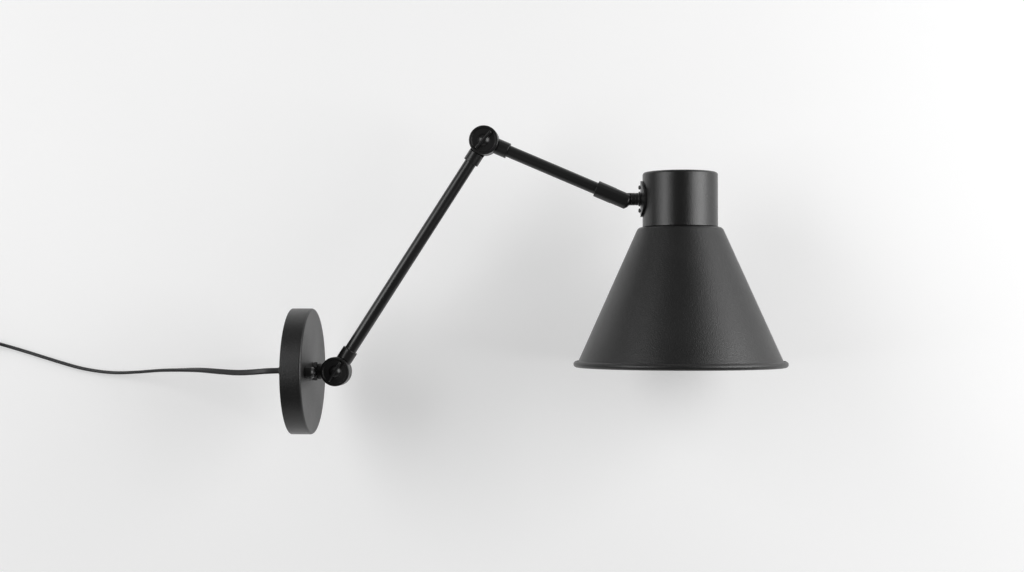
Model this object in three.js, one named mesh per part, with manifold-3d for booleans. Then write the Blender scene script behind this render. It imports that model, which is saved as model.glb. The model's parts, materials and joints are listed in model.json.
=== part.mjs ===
// Swing arm wall sconce, in millimetres.
// +Z is up, +X points out of the wall, and the origin is the centre of the bracket's wall face.
import * as THREE from 'three';
import { mergeVertices } from 'three/addons/utils/BufferGeometryUtils.js';
import Module from 'manifold-3d';

const wasm = await Module();
wasm.setup();

// Driving dimensions
const GAP = 0.3;                    // clearance between neighbouring pieces
const PLATE_RADIUS = 60;
const PLATE_DEPTH = 20;
const SHEET = 1.5;                  // thickness of the wall plate's sheet
const COVER_SCREW_OFFSET = 39;      // from the plate's centre, along Y
const PIVOT_OUT = 42.3;             // base pivot to wall
const LOWER_ARM = 260.4;            // pivot to pivot
const LOWER_ANGLE = 57.1;           // degrees above horizontal
const UPPER_ARM = 141;              // elbow pivot to head pivot
const UPPER_ANGLE = -23.4;          // degrees above horizontal
const TUBE_RADIUS = 5.75;
const TUBE_WALL = 1;
const CUP_RADIUS = 35.25;
const CUP_TOP = 24.8;               // above the head pivot
const SEAM = -26.4;                 // cup's lower edge, from the head pivot
const CUP_OUT = 55.1;               // head pivot to the cup's axis
const SHADE_SHEET = 0.8;
const SHADE_HEIGHT = 131.6;         // seam to the lowest point of the rim
const RIM_RADIUS = 100.2;
const CORD_RADIUS = 3;

// Joint discs and collars
const DISC_RADIUS = 13.9;
const DISC_INNER = 0.7;             // mating face, from the arm's middle plane
const DISC_OUTER = 6;
const COLLAR_RADIUS = 7.5;
const COLLAR_START = 14;            // from the pivot
const COLLAR_END = 24.5;
const SOCKET_START = 16.5;
const BOLT_RADIUS = 2.5;
const BOLT_HEAD_FLATS = 8;
const BOLT_HEAD_SEAT = 3;
const BOLT_POCKET_RADIUS = 5;
const WASHER_RADIUS = 11;
const KNOB_THICKNESS = 4;
const BLADE_LENGTH = 21.5;
const BLADE_WIDTH = 2.8;

// Details that several pieces share
const STEM_RADIUS = 5;
const STEM_BORE = 3.2;
const SLEEVE_RADIUS = 7.8;
const SLEEVE_LENGTH = 25.6;
const TONGUE_HALF = 2.4;
const PIN_RADIUS = 2;
const PIN_NEAR_END = -6.6;          // the tilt pin's hole stays closed on the near side
const NECK_RADIUS = 5.9;
const FLANGE_SCREW_OFFSET = 10.85;
const HOLDER_RADIUS = 19.8;
const BRACKET_THICKNESS = 2;
const GLAND_OFFSET = 15;            // from the bracket's centre, along Y
const GLAND_LENGTH = 17;            // behind the wall face
const ROUND = 36;                   // sides of a large round piece
const SMALL = 16;                   // sides of a small one
const degrees = THREE.MathUtils.degToRad;

// Colours and finishes
function finish(color, roughness, metalness) {
  return new THREE.MeshStandardMaterial({ color, roughness, metalness });
}
const blackPowder = () => finish(0x2a2a2b, 0.55, 0.2);
const blackSatin = () => finish(0x222223, 0.42, 0.2);
const blackGloss = () => finish(0x161617, 0.3, 0.3);
const blackPlastic = () => finish(0x1b1b1c, 0.5, 0);
const bakelite = () => finish(0x141312, 0.35, 0);
const steel = () => finish(0x9a9c9f, 0.35, 1);
const brass = () => finish(0xb08d4a, 0.3, 1);
const whitePlastic = () => finish(0xe9e8e3, 0.45, 0);
const fibre = () => finish(0x4a3a2c, 0.8, 0);

// Solid helpers
function weld(source) {
  const bare = source.clone();
  bare.deleteAttribute('normal');
  bare.deleteAttribute('uv');
  const merged = mergeVertices(bare, 1e-4);
  const index = merged.index.array;
  const kept = [];
  for (let i = 0; i < index.length; i += 3) {
    const [a, b, c] = [index[i], index[i + 1], index[i + 2]];
    if (a !== b && b !== c && c !== a) kept.push(a, b, c);
  }
  merged.setIndex(kept);
  return merged;
}

function toSolid(geometry) {
  const welded = weld(geometry);
  return new wasm.Manifold(new wasm.Mesh({
    numProp: 3,
    vertProperties: new Float32Array(welded.attributes.position.array),
    triVerts: new Uint32Array(welded.index.array),
  }));
}

function toGeometry(solid) {
  const mesh = solid.getMesh();
  const geometry = new THREE.BufferGeometry();
  geometry.setAttribute('position', new THREE.BufferAttribute(mesh.vertProperties, 3));
  geometry.setIndex(new THREE.BufferAttribute(mesh.triVerts, 1));
  return geometry;
}

function cut(geometry, ...tools) {
  const solid = tools.reduce((left, tool) => left.subtract(toSolid(tool)), toSolid(geometry));
  return toGeometry(solid);
}

function join(geometry, ...others) {
  const solid = others.reduce((whole, other) => whole.add(toSolid(other)), toSolid(geometry));
  return toGeometry(solid);
}

function common(geometry, other) {
  return toGeometry(toSolid(geometry).intersect(toSolid(other)));
}

// A solid of revolution about +Z from a loop of [radius, height] points.
function turned(profile, sides = SMALL) {
  const points = profile.map(([radius, height]) => new THREE.Vector2(radius, height));
  const loop = THREE.ShapeUtils.isClockWise(points) ? points.reverse() : points;
  const geometry = new THREE.LatheGeometry([...loop, loop[0].clone()], sides);
  return weld(geometry.rotateX(Math.PI / 2));
}

const alongX = (geometry) => geometry.rotateY(Math.PI / 2);
const alongY = (geometry) => geometry.rotateX(-Math.PI / 2);

function rod(radius, low, high, sides = SMALL) {
  return turned([[0, low], [radius, low], [radius, high], [0, high]], sides);
}

function pipe(inner, outer, low, high, sides = SMALL) {
  return turned([[inner, low], [outer, low], [outer, high], [inner, high]], sides);
}

function block(low, high) {
  const size = high.map((value, axis) => value - low[axis]);
  const middle = high.map((value, axis) => (value + low[axis]) / 2);
  return new THREE.BoxGeometry(...size).translate(...middle);
}

// Points of an arc in a turned profile, from one angle in degrees to another.
function arc(centre, radius, from, to, steps) {
  return Array.from({ length: steps + 1 }, (_, i) => {
    const angle = degrees(from + (to - from) * i / steps);
    return [centre[0] + radius * Math.cos(angle), centre[1] + radius * Math.sin(angle)];
  });
}

// A flat-sided prism about +Z, such as a nut, with its width measured across the flats.
function hexagon(acrossFlats, low, high, hole) {
  const corner = acrossFlats / Math.sqrt(3);
  const outside = rod(corner, low, high, 6);
  return hole ? cut(outside, rod(hole, low - 1, high + 1)) : outside;
}

// A slot-shaped prism about +Z: straight sides along X and round ends.
function slotPrism(length, width, low, high) {
  const reach = (length - width) / 2;
  const shape = new THREE.Shape();
  shape.absarc(reach, 0, width / 2, -Math.PI / 2, Math.PI / 2);
  shape.absarc(-reach, 0, width / 2, Math.PI / 2, 1.5 * Math.PI);
  const geometry = new THREE.ExtrudeGeometry(shape, {
    depth: high - low, bevelEnabled: false, curveSegments: 4,
  });
  return weld(geometry.translate(0, 0, low));
}

// A round flexible lead or cord through points. A full circle is sampled at twice curveSegments.
function flex(points, radius, steps, sides = 8) {
  const curve = new THREE.CatmullRomCurve3(points.map((point) => new THREE.Vector3(...point)));
  const section = new THREE.Shape();
  section.absarc(0, 0, radius, 0, 2 * Math.PI);
  const geometry = new THREE.ExtrudeGeometry(section, {
    steps, extrudePath: curve, curveSegments: sides / 2,
  });
  return weld(geometry);
}

function piece(name, geometry, material) {
  const mesh = new THREE.Mesh(geometry, material);
  mesh.name = name;
  return mesh;
}

// Wall plate and what it hides
function wallPlate() {
  const fillet = 2;
  const inside = PLATE_RADIUS - SHEET;
  const shell = alongX(turned([
    [STEM_RADIUS + GAP, PLATE_DEPTH],
    [STEM_RADIUS + GAP, PLATE_DEPTH - SHEET],
    [inside, PLATE_DEPTH - SHEET],
    [inside, 0],
    [PLATE_RADIUS, 0],
    ...arc([PLATE_RADIUS - fillet, PLATE_DEPTH - fillet], fillet, 0, 90, 3),
  ], ROUND));
  const holes = [-1, 1].map((side) =>
    alongX(rod(2.4, PLATE_DEPTH - 5, PLATE_DEPTH + 1, 12)).translate(0, side * COVER_SCREW_OFFSET, 0));
  return cut(shell, ...holes);
}

const WALL_SLOT_OFFSET = 30;        // slots fit wall boxes with screws 60 mm apart
const WALL_SLOT_LENGTH = 10;
const WALL_SLOT_WIDTH = 4.5;
const BRACKET_RADIUS = 26;          // the round middle of the bracket
const STRAP_LENGTH = 104;
const STRAP_WIDTH = 22;

function mountingBracket() {
  const centre = rod(BRACKET_RADIUS, 0, BRACKET_THICKNESS, ROUND);
  const strap = slotPrism(STRAP_LENGTH, STRAP_WIDTH, 0, BRACKET_THICKNESS).rotateZ(Math.PI / 2);
  const through = [-1, BRACKET_THICKNESS + 1];
  const tools = [rod(5 + GAP, ...through).translate(0, GLAND_OFFSET, 0)];
  for (const side of [-1, 1]) {
    tools.push(rod(PIN_RADIUS + GAP, ...through).translate(0, side * COVER_SCREW_OFFSET, 0));
    const slot = slotPrism(WALL_SLOT_LENGTH, WALL_SLOT_WIDTH, ...through).rotateZ(Math.PI / 2);
    tools.push(slot.translate(0, side * WALL_SLOT_OFFSET, 0));
  }
  return alongX(cut(join(centre, strap), ...tools));
}

function coverScrew() {
  const seat = PLATE_DEPTH + GAP;
  const headRadius = 5.5;
  const headEnd = seat + 8.7;
  const body = turned([
    [0, 0.8], [PIN_RADIUS, 0.8], [PIN_RADIUS, seat], [headRadius, seat],
    [headRadius, headEnd - 2.5], [4.6, headEnd - 1], [2.6, headEnd - 0.2], [0, headEnd],
  ]);
  const recess = [block([-2.4, -0.5, headEnd - 1.4], [2.4, 0.5, headEnd + 1]),
    block([-0.5, -2.4, headEnd - 1.4], [0.5, 2.4, headEnd + 1])];
  return alongX(cut(body, ...recess));
}

function cordGland() {
  return alongX(turned([
    [0, BRACKET_THICKNESS + 2.3], [7, BRACKET_THICKNESS + 2.3], [7, BRACKET_THICKNESS + GAP],
    [5, BRACKET_THICKNESS + GAP], [5, -GAP], [6.2, -GAP], [6.2, -3],
    [CORD_RADIUS + 0.7, -GLAND_LENGTH], [0, -GLAND_LENGTH],
  ])).translate(0, GLAND_OFFSET, 0);
}

const BLOCK_LOW = [BRACKET_THICKNESS + GAP, -10, 10.5];
const BLOCK_HIGH = [13, 10, 22];
const TERMINAL_OFFSET = 5;          // each side of the block's middle
const TERMINAL_HEIGHT = 16;
const TERMINAL_RADIUS = 2;

function terminalBlock() {
  const wells = [-1, 1].map((side) =>
    alongX(rod(TERMINAL_RADIUS + GAP, BLOCK_HIGH[0] - 4, BLOCK_HIGH[0] + 1))
      .translate(0, side * TERMINAL_OFFSET, TERMINAL_HEIGHT));
  return cut(block(BLOCK_LOW, BLOCK_HIGH), ...wells);
}

function terminalScrew(side) {
  const top = BLOCK_HIGH[0] - 0.5;
  const head = rod(TERMINAL_RADIUS, top - 3.2, top);
  const slot = block([-2.5, -0.35, top - 0.8], [2.5, 0.35, top + 1]);
  return alongX(cut(head, slot)).translate(0, side * TERMINAL_OFFSET, TERMINAL_HEIGHT);
}

const MAINS_CORE_RADIUS = 1.8;
const LEAD_RADIUS = 1.5;
const MAINS_TAIL_ROUTE = [[4.8, 15, 0], [6.5, 15, 0], [9, 16.5, 5], [8.5, 16, 12], [8, 13, 16],
  [8, 10.6, 16]];
const BASE_LEAD_ROUTE = [[8, -10.6, 16], [8, -13, 16], [6.5, -15.5, 9], [5.4, -10, 2], [5, -2, 0]];

function wallMount() {
  const group = new THREE.Group();
  group.add(piece('wall_plate', wallPlate(), blackPowder()));
  group.add(piece('mounting_bracket', mountingBracket(), steel()));
  for (const [name, side] of [['cover_screw_near', -1], ['cover_screw_far', 1]]) {
    const screw = piece(name, coverScrew(), blackGloss());
    screw.position.y = side * COVER_SCREW_OFFSET;
    group.add(screw);
  }
  group.add(piece('cord_gland', cordGland(), blackPlastic()));
  group.add(piece('terminal_block', terminalBlock(), whitePlastic()));
  group.add(piece('terminal_screw_1', terminalScrew(-1), brass()));
  group.add(piece('terminal_screw_2', terminalScrew(1), brass()));
  group.add(piece('mains_tail', flex(MAINS_TAIL_ROUTE, MAINS_CORE_RADIUS, 12), blackPlastic()));
  group.add(piece('base_lead', flex(BASE_LEAD_ROUTE, LEAD_RADIUS, 12), blackPlastic()));
  group.add(piece('swivel_washer', alongX(pipe(STEM_RADIUS + GAP, 10, 16.6, 18.2)), fibre()));
  return group;
}

// Joint halves. The pivot is at the origin with its axis along Y, and the arm leaves along +X.
// side is -1 for the half on the knob's side and 1 for the half on the bolt head's side.
function slab(side, radius) {
  const faces = [side * DISC_INNER, side * DISC_OUTER].sort((a, b) => a - b);
  return alongY(rod(radius, ...faces, ROUND));
}

function jointHalf(side, collarEnd) {
  const bridge = common(alongX(rod(COLLAR_RADIUS, 0, COLLAR_START + 1)), slab(side, 40));
  const disc = join(slab(side, DISC_RADIUS), bridge);
  return join(disc, alongX(rod(COLLAR_RADIUS, COLLAR_START, collarEnd)));
}

function boltRoom(side) {
  const hole = alongY(rod(BOLT_RADIUS + GAP, -DISC_OUTER - 1, DISC_OUTER + 1));
  const pocket = alongY(rod(BOLT_POCKET_RADIUS, BOLT_HEAD_SEAT - GAP, DISC_OUTER + 1));
  return side > 0 ? [hole, pocket] : [hole];
}

function armEnd(side) {
  const socket = alongX(rod(TUBE_RADIUS + GAP, SOCKET_START, COLLAR_END + 1));
  return cut(jointHalf(side, COLLAR_END), socket, ...boltRoom(side));
}

function jointBolt() {
  const shank = rod(BOLT_RADIUS, -9.4, BOLT_HEAD_SEAT + 0.2);
  return alongY(join(shank, hexagon(BOLT_HEAD_FLATS, BOLT_HEAD_SEAT, DISC_OUTER - GAP)));
}

function jointWasher() {
  return alongY(pipe(BOLT_RADIUS + GAP, WASHER_RADIUS, -0.4, 0.4));
}

function clampKnob() {
  const back = DISC_OUTER + GAP;
  const front = back + KNOB_THICKNESS;
  const disc = turned([
    [0, back], [DISC_RADIUS - 0.5, back], [DISC_RADIUS, back + 0.5],
    [DISC_RADIUS, front - 0.8], [DISC_RADIUS - 0.8, front],
    [11.6, front], [11, front - 0.9], [6.5, front - 0.9], [6.2, front + 0.6],
    [4.4, front + 1.8], [0, front + 2.3],
  ], 28);
  const blade = slotPrism(BLADE_LENGTH, BLADE_WIDTH, front - 2, front + 3.8);
  const socket = rod(BOLT_RADIUS + GAP, back - 1, 9.8);
  return cut(join(disc, blade), socket).rotateX(Math.PI / 2);
}

const NECK_FOOT = 24.6;             // where the base neck meets its nut, from the wall
const NECK_NUT_FLATS = 15.6;
const LOCK_NUT_FLATS = 14;

function baseSwivel() {
  const group = new THREE.Group();
  const neck = PIVOT_OUT - NECK_FOOT;
  const stem = alongX(rod(STEM_RADIUS, neck - 1, PIVOT_OUT - 9)).rotateY(Math.PI);
  const bore = alongX(rod(STEM_BORE, SOCKET_START, PIVOT_OUT)).rotateY(Math.PI);
  const half = jointHalf(1, neck).rotateY(Math.PI);
  const knuckle = cut(join(half, stem), bore, ...boltRoom(1));
  const pivot = new THREE.Group();
  pivot.position.x = PIVOT_OUT;
  pivot.add(piece('base_knuckle', knuckle, blackGloss()));
  pivot.add(piece('base_bolt', jointBolt(), steel()));
  group.add(pivot);
  const neckNut = hexagon(NECK_NUT_FLATS, PLATE_DEPTH + GAP, NECK_FOOT - GAP, STEM_RADIUS + GAP);
  const lockNut = hexagon(LOCK_NUT_FLATS, 11, 16.2, STEM_RADIUS + GAP);
  group.add(piece('neck_nut', alongX(neckNut), blackGloss()));
  group.add(piece('stem_lock_nut', alongX(lockNut), steel()));
  return group;
}

function knobAt(name, bladeAngle) {
  const knob = piece(name, clampKnob(), blackGloss());
  knob.rotation.y = -degrees(bladeAngle);
  return knob;
}

// Arms. Each arm's group has its pivot at the origin and its tube along +X.
function armTube(end) {
  const start = SOCKET_START + GAP;
  return alongX(pipe(TUBE_RADIUS - TUBE_WALL, TUBE_RADIUS, start, end));
}

function armLead(end) {
  return alongX(rod(MAINS_CORE_RADIUS, SOCKET_START + 1, end, 12));
}

function lowerArm() {
  const group = new THREE.Group();
  group.add(piece('lower_arm_foot', armEnd(-1), blackGloss()));
  group.add(piece('base_washer', jointWasher(), fibre()));
  group.add(piece('lower_arm_tube', armTube(LOWER_ARM - SOCKET_START - GAP), blackGloss()));
  group.add(piece('lower_arm_lead', armLead(LOWER_ARM - SOCKET_START - 1), blackPlastic()));
  const head = armEnd(1).rotateY(Math.PI).translate(LOWER_ARM, 0, 0);
  group.add(piece('lower_arm_head', head, blackGloss()));
  group.add(piece('elbow_bolt', jointBolt().translate(LOWER_ARM, 0, 0), steel()));
  return group;
}

const CAP_RADIUS = 9;               // round end of the sleeve, about the tilt pin
const SOCKET_END = -10;             // bottom of the sleeve's socket, from the pin
const EYE_RADIUS = 6.8;

function swivelSleeve() {
  const round = alongX(rod(SLEEVE_RADIUS, -SLEEVE_LENGTH, CAP_RADIUS, 32));
  const outline = join(
    alongY(rod(CAP_RADIUS, -SLEEVE_RADIUS - 1, SLEEVE_RADIUS + 1, ROUND)),
    block([-SLEEVE_LENGTH - 1, -CAP_RADIUS, -CAP_RADIUS], [0, CAP_RADIUS, CAP_RADIUS]),
  );
  const fork = block([-EYE_RADIUS - 1.2, -TONGUE_HALF - GAP, -CAP_RADIUS - 1],
    [CAP_RADIUS + 1, TONGUE_HALF + GAP, CAP_RADIUS + 1]);
  const socket = alongX(rod(TUBE_RADIUS + GAP, -SLEEVE_LENGTH - 1, SOCKET_END));
  const pinHole = alongY(rod(PIN_RADIUS + GAP, PIN_NEAR_END - GAP, 9, SMALL));
  return cut(common(round, outline), fork, socket, pinHole);
}

function upperArm() {
  const group = new THREE.Group();
  const tubeEnd = UPPER_ARM + SOCKET_END - GAP;
  group.add(piece('upper_arm_foot', armEnd(-1), blackGloss()));
  group.add(piece('elbow_washer', jointWasher(), fibre()));
  group.add(piece('upper_arm_tube', armTube(tubeEnd), blackGloss()));
  group.add(piece('upper_arm_lead', armLead(tubeEnd - 1), blackPlastic()));
  group.add(piece('swivel_sleeve', swivelSleeve().translate(UPPER_ARM, 0, 0), blackGloss()));
  const pin = alongY(rod(PIN_RADIUS, PIN_NEAR_END, 7, SMALL)).translate(UPPER_ARM, 0, 0);
  group.add(piece('swivel_pin', pin, steel()));
  return group;
}

// Head. The tilt pivot is at the origin, and the cup's axis is upright at x = CUP_OUT.
const FLANGE_INNER = CUP_RADIUS + GAP;
const FLANGE_OUTER = FLANGE_INNER + 1.8;
const FLANGE_RADIUS = 17;
const CUP_WALL = 1;
const leadHole = () => alongX(rod(STEM_BORE, 10, 30));
const atCup = (geometry) => geometry.translate(CUP_OUT, 0, 0);

function headNeck() {
  const eye = alongY(rod(EYE_RADIUS, -TONGUE_HALF, TONGUE_HALF, 32));
  const bar = block([0, -TONGUE_HALF, -NECK_RADIUS], [11, TONGUE_HALF, NECK_RADIUS]);
  const tongue = join(eye, common(bar, alongX(rod(NECK_RADIUS, -1, 12))));
  const neck = alongX(turned([
    [0, 9.4], [NECK_RADIUS, 9.4], [NECK_RADIUS, 16], [7, 16.6], [7, 24], [0, 24],
  ], 24));
  const saddle = atCup(rod(FLANGE_OUTER + GAP, -20, 20, ROUND));
  return cut(join(tongue, neck), saddle, alongY(rod(PIN_RADIUS + GAP, -4, 4)));
}

function screwHoles(radius) {
  return [-1, 1].map((side) =>
    alongX(rod(radius, 10, 30, 12)).translate(0, 0, side * FLANGE_SCREW_OFFSET));
}

function cupFlange() {
  const shell = atCup(pipe(FLANGE_INNER, FLANGE_OUTER, -20, 20, ROUND));
  const outline = alongX(rod(FLANGE_RADIUS, 10, 30, ROUND));
  return cut(common(shell, outline), leadHole(), ...screwHoles(1.7));
}

function flangeScrew(side) {
  const under = CUP_OUT - FLANGE_OUTER - GAP;
  const body = turned([
    [0, under - 1.6], [1.3, under - 1.5], [2.2, under - 0.8], [2.2, under],
    [1.3, under], [1.3, under + 6], [0, under + 6],
  ], 16);
  return alongX(body).translate(0, 0, side * FLANGE_SCREW_OFFSET);
}

function holderCup() {
  const fillet = 2.5;
  const inside = CUP_RADIUS - CUP_WALL;
  const ceiling = CUP_TOP - CUP_WALL;
  const shell = atCup(turned([
    [0, ceiling], [inside - fillet, ceiling],
    ...arc([inside - fillet, ceiling - fillet], fillet, 60, 0, 2),
    [inside, SEAM], [CUP_RADIUS, SEAM],
    ...arc([CUP_RADIUS - fillet, CUP_TOP - fillet], fillet, 0, 90, 3),
    [0, CUP_TOP],
  ], ROUND));
  return cut(shell, leadHole(), ...screwHoles(1.7));
}

const SHELF_TOP = 15;
const HOLDER_LEAD_ROUTE = [[24, 0, 0], [27, -4, 2], [33, -11, 8], [42, -12, 17], [48, -8, 21.6],
  [52.5, -3, 22]];

function holderBracket() {
  const outer = CUP_RADIUS - CUP_WALL - GAP;
  const thickness = 1.6;
  const shell = atCup(pipe(outer - thickness, outer, -SHELF_TOP, SHELF_TOP, ROUND));
  const wall = common(shell, block([10, -6, -SHELF_TOP], [40, 6, SHELF_TOP]));
  const shelf = block([CUP_OUT - outer + 1, -6, SHELF_TOP - thickness], [CUP_OUT + 8, 6, SHELF_TOP]);
  const nippleHole = atCup(rod(STEM_RADIUS + GAP, 10, 18));
  return cut(join(wall, shelf), nippleHole, leadHole(), ...screwHoles(1.6));
}

function lampHolder() {
  const flangeTop = SEAM + 2.5;
  const mouth = SEAM - 12;
  return atCup(turned([
    [STEM_RADIUS + GAP, 13], [14, 13], [18, 9], [HOLDER_RADIUS, 4],
    [HOLDER_RADIUS, flangeTop], [23, flangeTop], [23, SEAM], [HOLDER_RADIUS, SEAM],
    [HOLDER_RADIUS, mouth], [13.9, mouth], [13.9, 2], [STEM_RADIUS + GAP, 2],
  ], 24));
}

function shadeRing() {
  const top = SEAM - GAP - SHADE_SHEET - GAP;
  return atCup(pipe(HOLDER_RADIUS + GAP, 26, top - 5, top, 24));
}

// The cone's outer radius at a height below the seam.
const CONE_SLOPE = 0.4425;
const coneRadius = (drop) => 39.9 + CONE_SLOPE * drop;

function shade() {
  const top = SEAM - GAP;
  const bead = 3;
  const beadCentre = [RIM_RADIUS - bead, SEAM - SHADE_HEIGHT + bead];
  const coneEnd = SHADE_HEIGHT - 2 * bead - 0.9;
  const shoulder = arc([36.1, top - 5], 5, 90, 24, 4);
  const inward = SHADE_SHEET * Math.hypot(1, CONE_SLOPE);
  return atCup(turned([
    [HOLDER_RADIUS + 0.5, top], ...shoulder,
    [coneRadius(coneEnd), SEAM - coneEnd],
    ...arc(beadCentre, bead, 115, -160, 8),
    [coneRadius(coneEnd) - inward, SEAM - coneEnd],
    [coneRadius(6) - inward, SEAM - 6],
    ...arc([36.1, top - 5], 5 - SHADE_SHEET, 24, 90, 4),
    [HOLDER_RADIUS + 0.5, top - SHADE_SHEET],
  ], ROUND + 8));
}

const BULB_TOP = 0;
const BULB_SEAM = -60;

const BULB_CAP_RADIUS = 13.2;
const BULB_CAP_END = -26;

function bulbCap() {
  return atCup(turned([
    [0, BULB_TOP], [5, BULB_TOP], [6, -2.5], [11, -4.5], [BULB_CAP_RADIUS, -6],
    [BULB_CAP_RADIUS, BULB_CAP_END], [0, BULB_CAP_END],
  ]));
}

function bulbBody() {
  return atCup(turned([
    [0, BULB_CAP_END - GAP], [13.3, BULB_CAP_END - GAP], [13.3, -40], [17, -46], [23, -53],
    [27.5, BULB_SEAM],
    [0, BULB_SEAM],
  ], 32));
}

const BULB_RADIUS = 30;

function bulbDiffuser() {
  const centre = [0, -78];
  const wall = 1;
  const edge = BULB_SEAM - GAP;
  return atCup(turned([
    [26.6, edge], ...arc(centre, BULB_RADIUS, 30, -90, 6),
    ...arc(centre, BULB_RADIUS - wall, -90, 30, 6), [25.6, edge],
  ]));
}

function headGroup() {
  const group = new THREE.Group();
  group.add(piece('head_neck', headNeck(), blackGloss()));
  group.add(piece('cup_flange', cupFlange(), blackGloss()));
  group.add(piece('flange_screw_upper', flangeScrew(1), steel()));
  group.add(piece('flange_screw_lower', flangeScrew(-1), steel()));
  group.add(piece('holder_cup', holderCup(), blackSatin()));
  group.add(piece('holder_bracket', holderBracket(), steel()));
  const nippleNut = hexagon(LOCK_NUT_FLATS, SHELF_TOP + GAP, SHELF_TOP + 3.3, STEM_RADIUS + GAP);
  group.add(piece('holder_nipple', atCup(pipe(STEM_BORE, STEM_RADIUS, 7, 20)), brass()));
  group.add(piece('nipple_nut', atCup(nippleNut), brass()));
  group.add(piece('holder_lead', flex(HOLDER_LEAD_ROUTE, LEAD_RADIUS, 14), blackPlastic()));
  group.add(piece('lamp_holder', lampHolder(), bakelite()));
  group.add(piece('shade_ring', shadeRing(), bakelite()));
  group.add(piece('shade', shade(), blackPowder()));
  group.add(piece('bulb_cap', bulbCap(), steel()));
  group.add(piece('bulb_body', bulbBody(), whitePlastic()));
  group.add(piece('bulb_diffuser', bulbDiffuser(), whitePlastic()));
  return group;
}

// Cord set. The cord settles against a surface at y = REST_Y, and its spare length is coiled there.
const REST_Y = 105;
const SWITCH_MIDDLE = [-378, REST_Y - 9.3, 27];
const SWITCH_HALF = [29, 9, 13];
const COIL_TURN = 33;               // middle of the turns
const ROW_PITCH = 4.3;              // four turns side by side, by their thickness
const LAYER_PITCH = 6.4;            // two turns deep along Y, by their width
const COIL_INNER = COIL_TURN - 2 * ROW_PITCH;
const COIL_OUTER = COIL_TURN + 2 * ROW_PITCH;
const COIL_HALF = LAYER_PITCH;
const COIL_EDGE = COIL_TURN + 1.5 * ROW_PITCH;      // middle of the outermost turn
const TIE_WALL = 1.2;
const COIL_CENTRE = [-468, REST_Y - COIL_HALF - TIE_WALL - 2 * GAP, -6];
const COIL_MEET = -447.6;           // where the cord runs into and out of the coil
const PLUG_BACK = -425;
const PLUG_FACE = -386;
const PLUG_MIDDLE = [REST_Y - 7.3, -48];    // along Y and Z

const LEAD_ROUTE = [
  [-GLAND_LENGTH - GAP, GLAND_OFFSET, 0], [-30, 15, -0.5], [-42, 18, -1.5], [-60, 27, -2.5],
  [-80, 39, -2], [-105, 54, -1], [-130, 69, -1.5], [-155, 82, -2.5], [-180, 92, -4.5],
  [-205, 98.5, -5.5], [-225, 101, -4], [-245, 101.9, -0.5], [-265, 101.9, 5],
  [-285, 101.9, 11], [-305, 101.9, 17], [-322, 100.5, 22], [-334, 97, 25.5], [-342, 95.7, 27],
  [SWITCH_MIDDLE[0] + SWITCH_HALF[0] + GAP, SWITCH_MIDDLE[1], SWITCH_MIDDLE[2]],
];
const MID_ROUTE = [
  [SWITCH_MIDDLE[0] - SWITCH_HALF[0] - GAP, SWITCH_MIDDLE[1], SWITCH_MIDDLE[2]],
  [-412, SWITCH_MIDDLE[1], SWITCH_MIDDLE[2]],
  [-430, COIL_CENTRE[1] - 0.3, COIL_CENTRE[2] + 37.8],
  [COIL_MEET, COIL_CENTRE[1], COIL_CENTRE[2] + COIL_EDGE],
];
const END_ROUTE = [
  [COIL_MEET, COIL_CENTRE[1], COIL_CENTRE[2] - COIL_EDGE],
  [-436, COIL_CENTRE[1] + 0.4, -46.5], [-430, ...PLUG_MIDDLE], [PLUG_BACK - GAP, ...PLUG_MIDDLE],
];

function coilTie() {
  const x = (COIL_OUTER - COIL_INNER) / 2 + 0.9;
  const y = COIL_HALF + GAP;
  const z = 5;
  const outside = block([-x - TIE_WALL, -y - TIE_WALL, -z], [x + TIE_WALL, y + TIE_WALL, z]);
  return cut(outside, block([-x, -y, -z - 1], [x, y, z + 1]));
}

const ROCKER_HALF = [8, 6];         // along the cord and across it

function switchBody() {
  const [x, y, z] = SWITCH_HALF;
  const opening = [ROCKER_HALF[0] + 0.7, ROCKER_HALF[1] + 0.4];
  const shell = block([-x, -y, -z], [x, y, z]);
  return cut(shell, block([-opening[0], -y - 1, -opening[1]], [opening[0], -1, opening[1]]));
}

// The rocker's two slopes meet over its pivot, which is just under the switch's face.
function switchRocker() {
  const [length, width] = ROCKER_HALF;
  const outline = new THREE.Shape([[-length, -2.6], [length, -2.6], [length, 1.2], [0, 3], [-length, 1.2]]
    .map(([x, height]) => new THREE.Vector2(x, height)));
  const bar = new THREE.ExtrudeGeometry(outline, { depth: 2 * width, bevelEnabled: false });
  const upright = weld(bar.translate(0, 0, -width)).scale(1, -1, 1);
  const index = upright.index.array;
  for (let i = 0; i < index.length; i += 3) {
    [index[i], index[i + 1]] = [index[i + 1], index[i]];
  }
  return upright;
}

function plugBody() {
  const middle = (PLUG_BACK + PLUG_FACE) / 2;
  const half = (PLUG_FACE - PLUG_BACK) / 2;
  const thickness = 14;
  const outline = new THREE.Shape([[-half, -6], [-half + 12, -14], [half, -17.5], [half, 17.5],
    [-half + 12, 14], [-half, 6]].map(([x, z]) => new THREE.Vector2(x, z)));
  const body = new THREE.ExtrudeGeometry(outline, { depth: thickness, bevelEnabled: false });
  return weld(body.translate(0, 0, -thickness / 2)).rotateX(Math.PI / 2)
    .translate(middle, ...PLUG_MIDDLE);
}

const PLUG_PIN_OFFSET = 9.3;        // pins 18.6 mm apart
const PLUG_PIN_LENGTH = 19;

function plugPin(side) {
  const [y, z] = PLUG_MIDDLE;
  const pin = alongX(rod(2, PLUG_FACE + GAP, PLUG_FACE + PLUG_PIN_LENGTH, 12));
  return pin.translate(0, y, z + side * PLUG_PIN_OFFSET);
}

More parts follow.
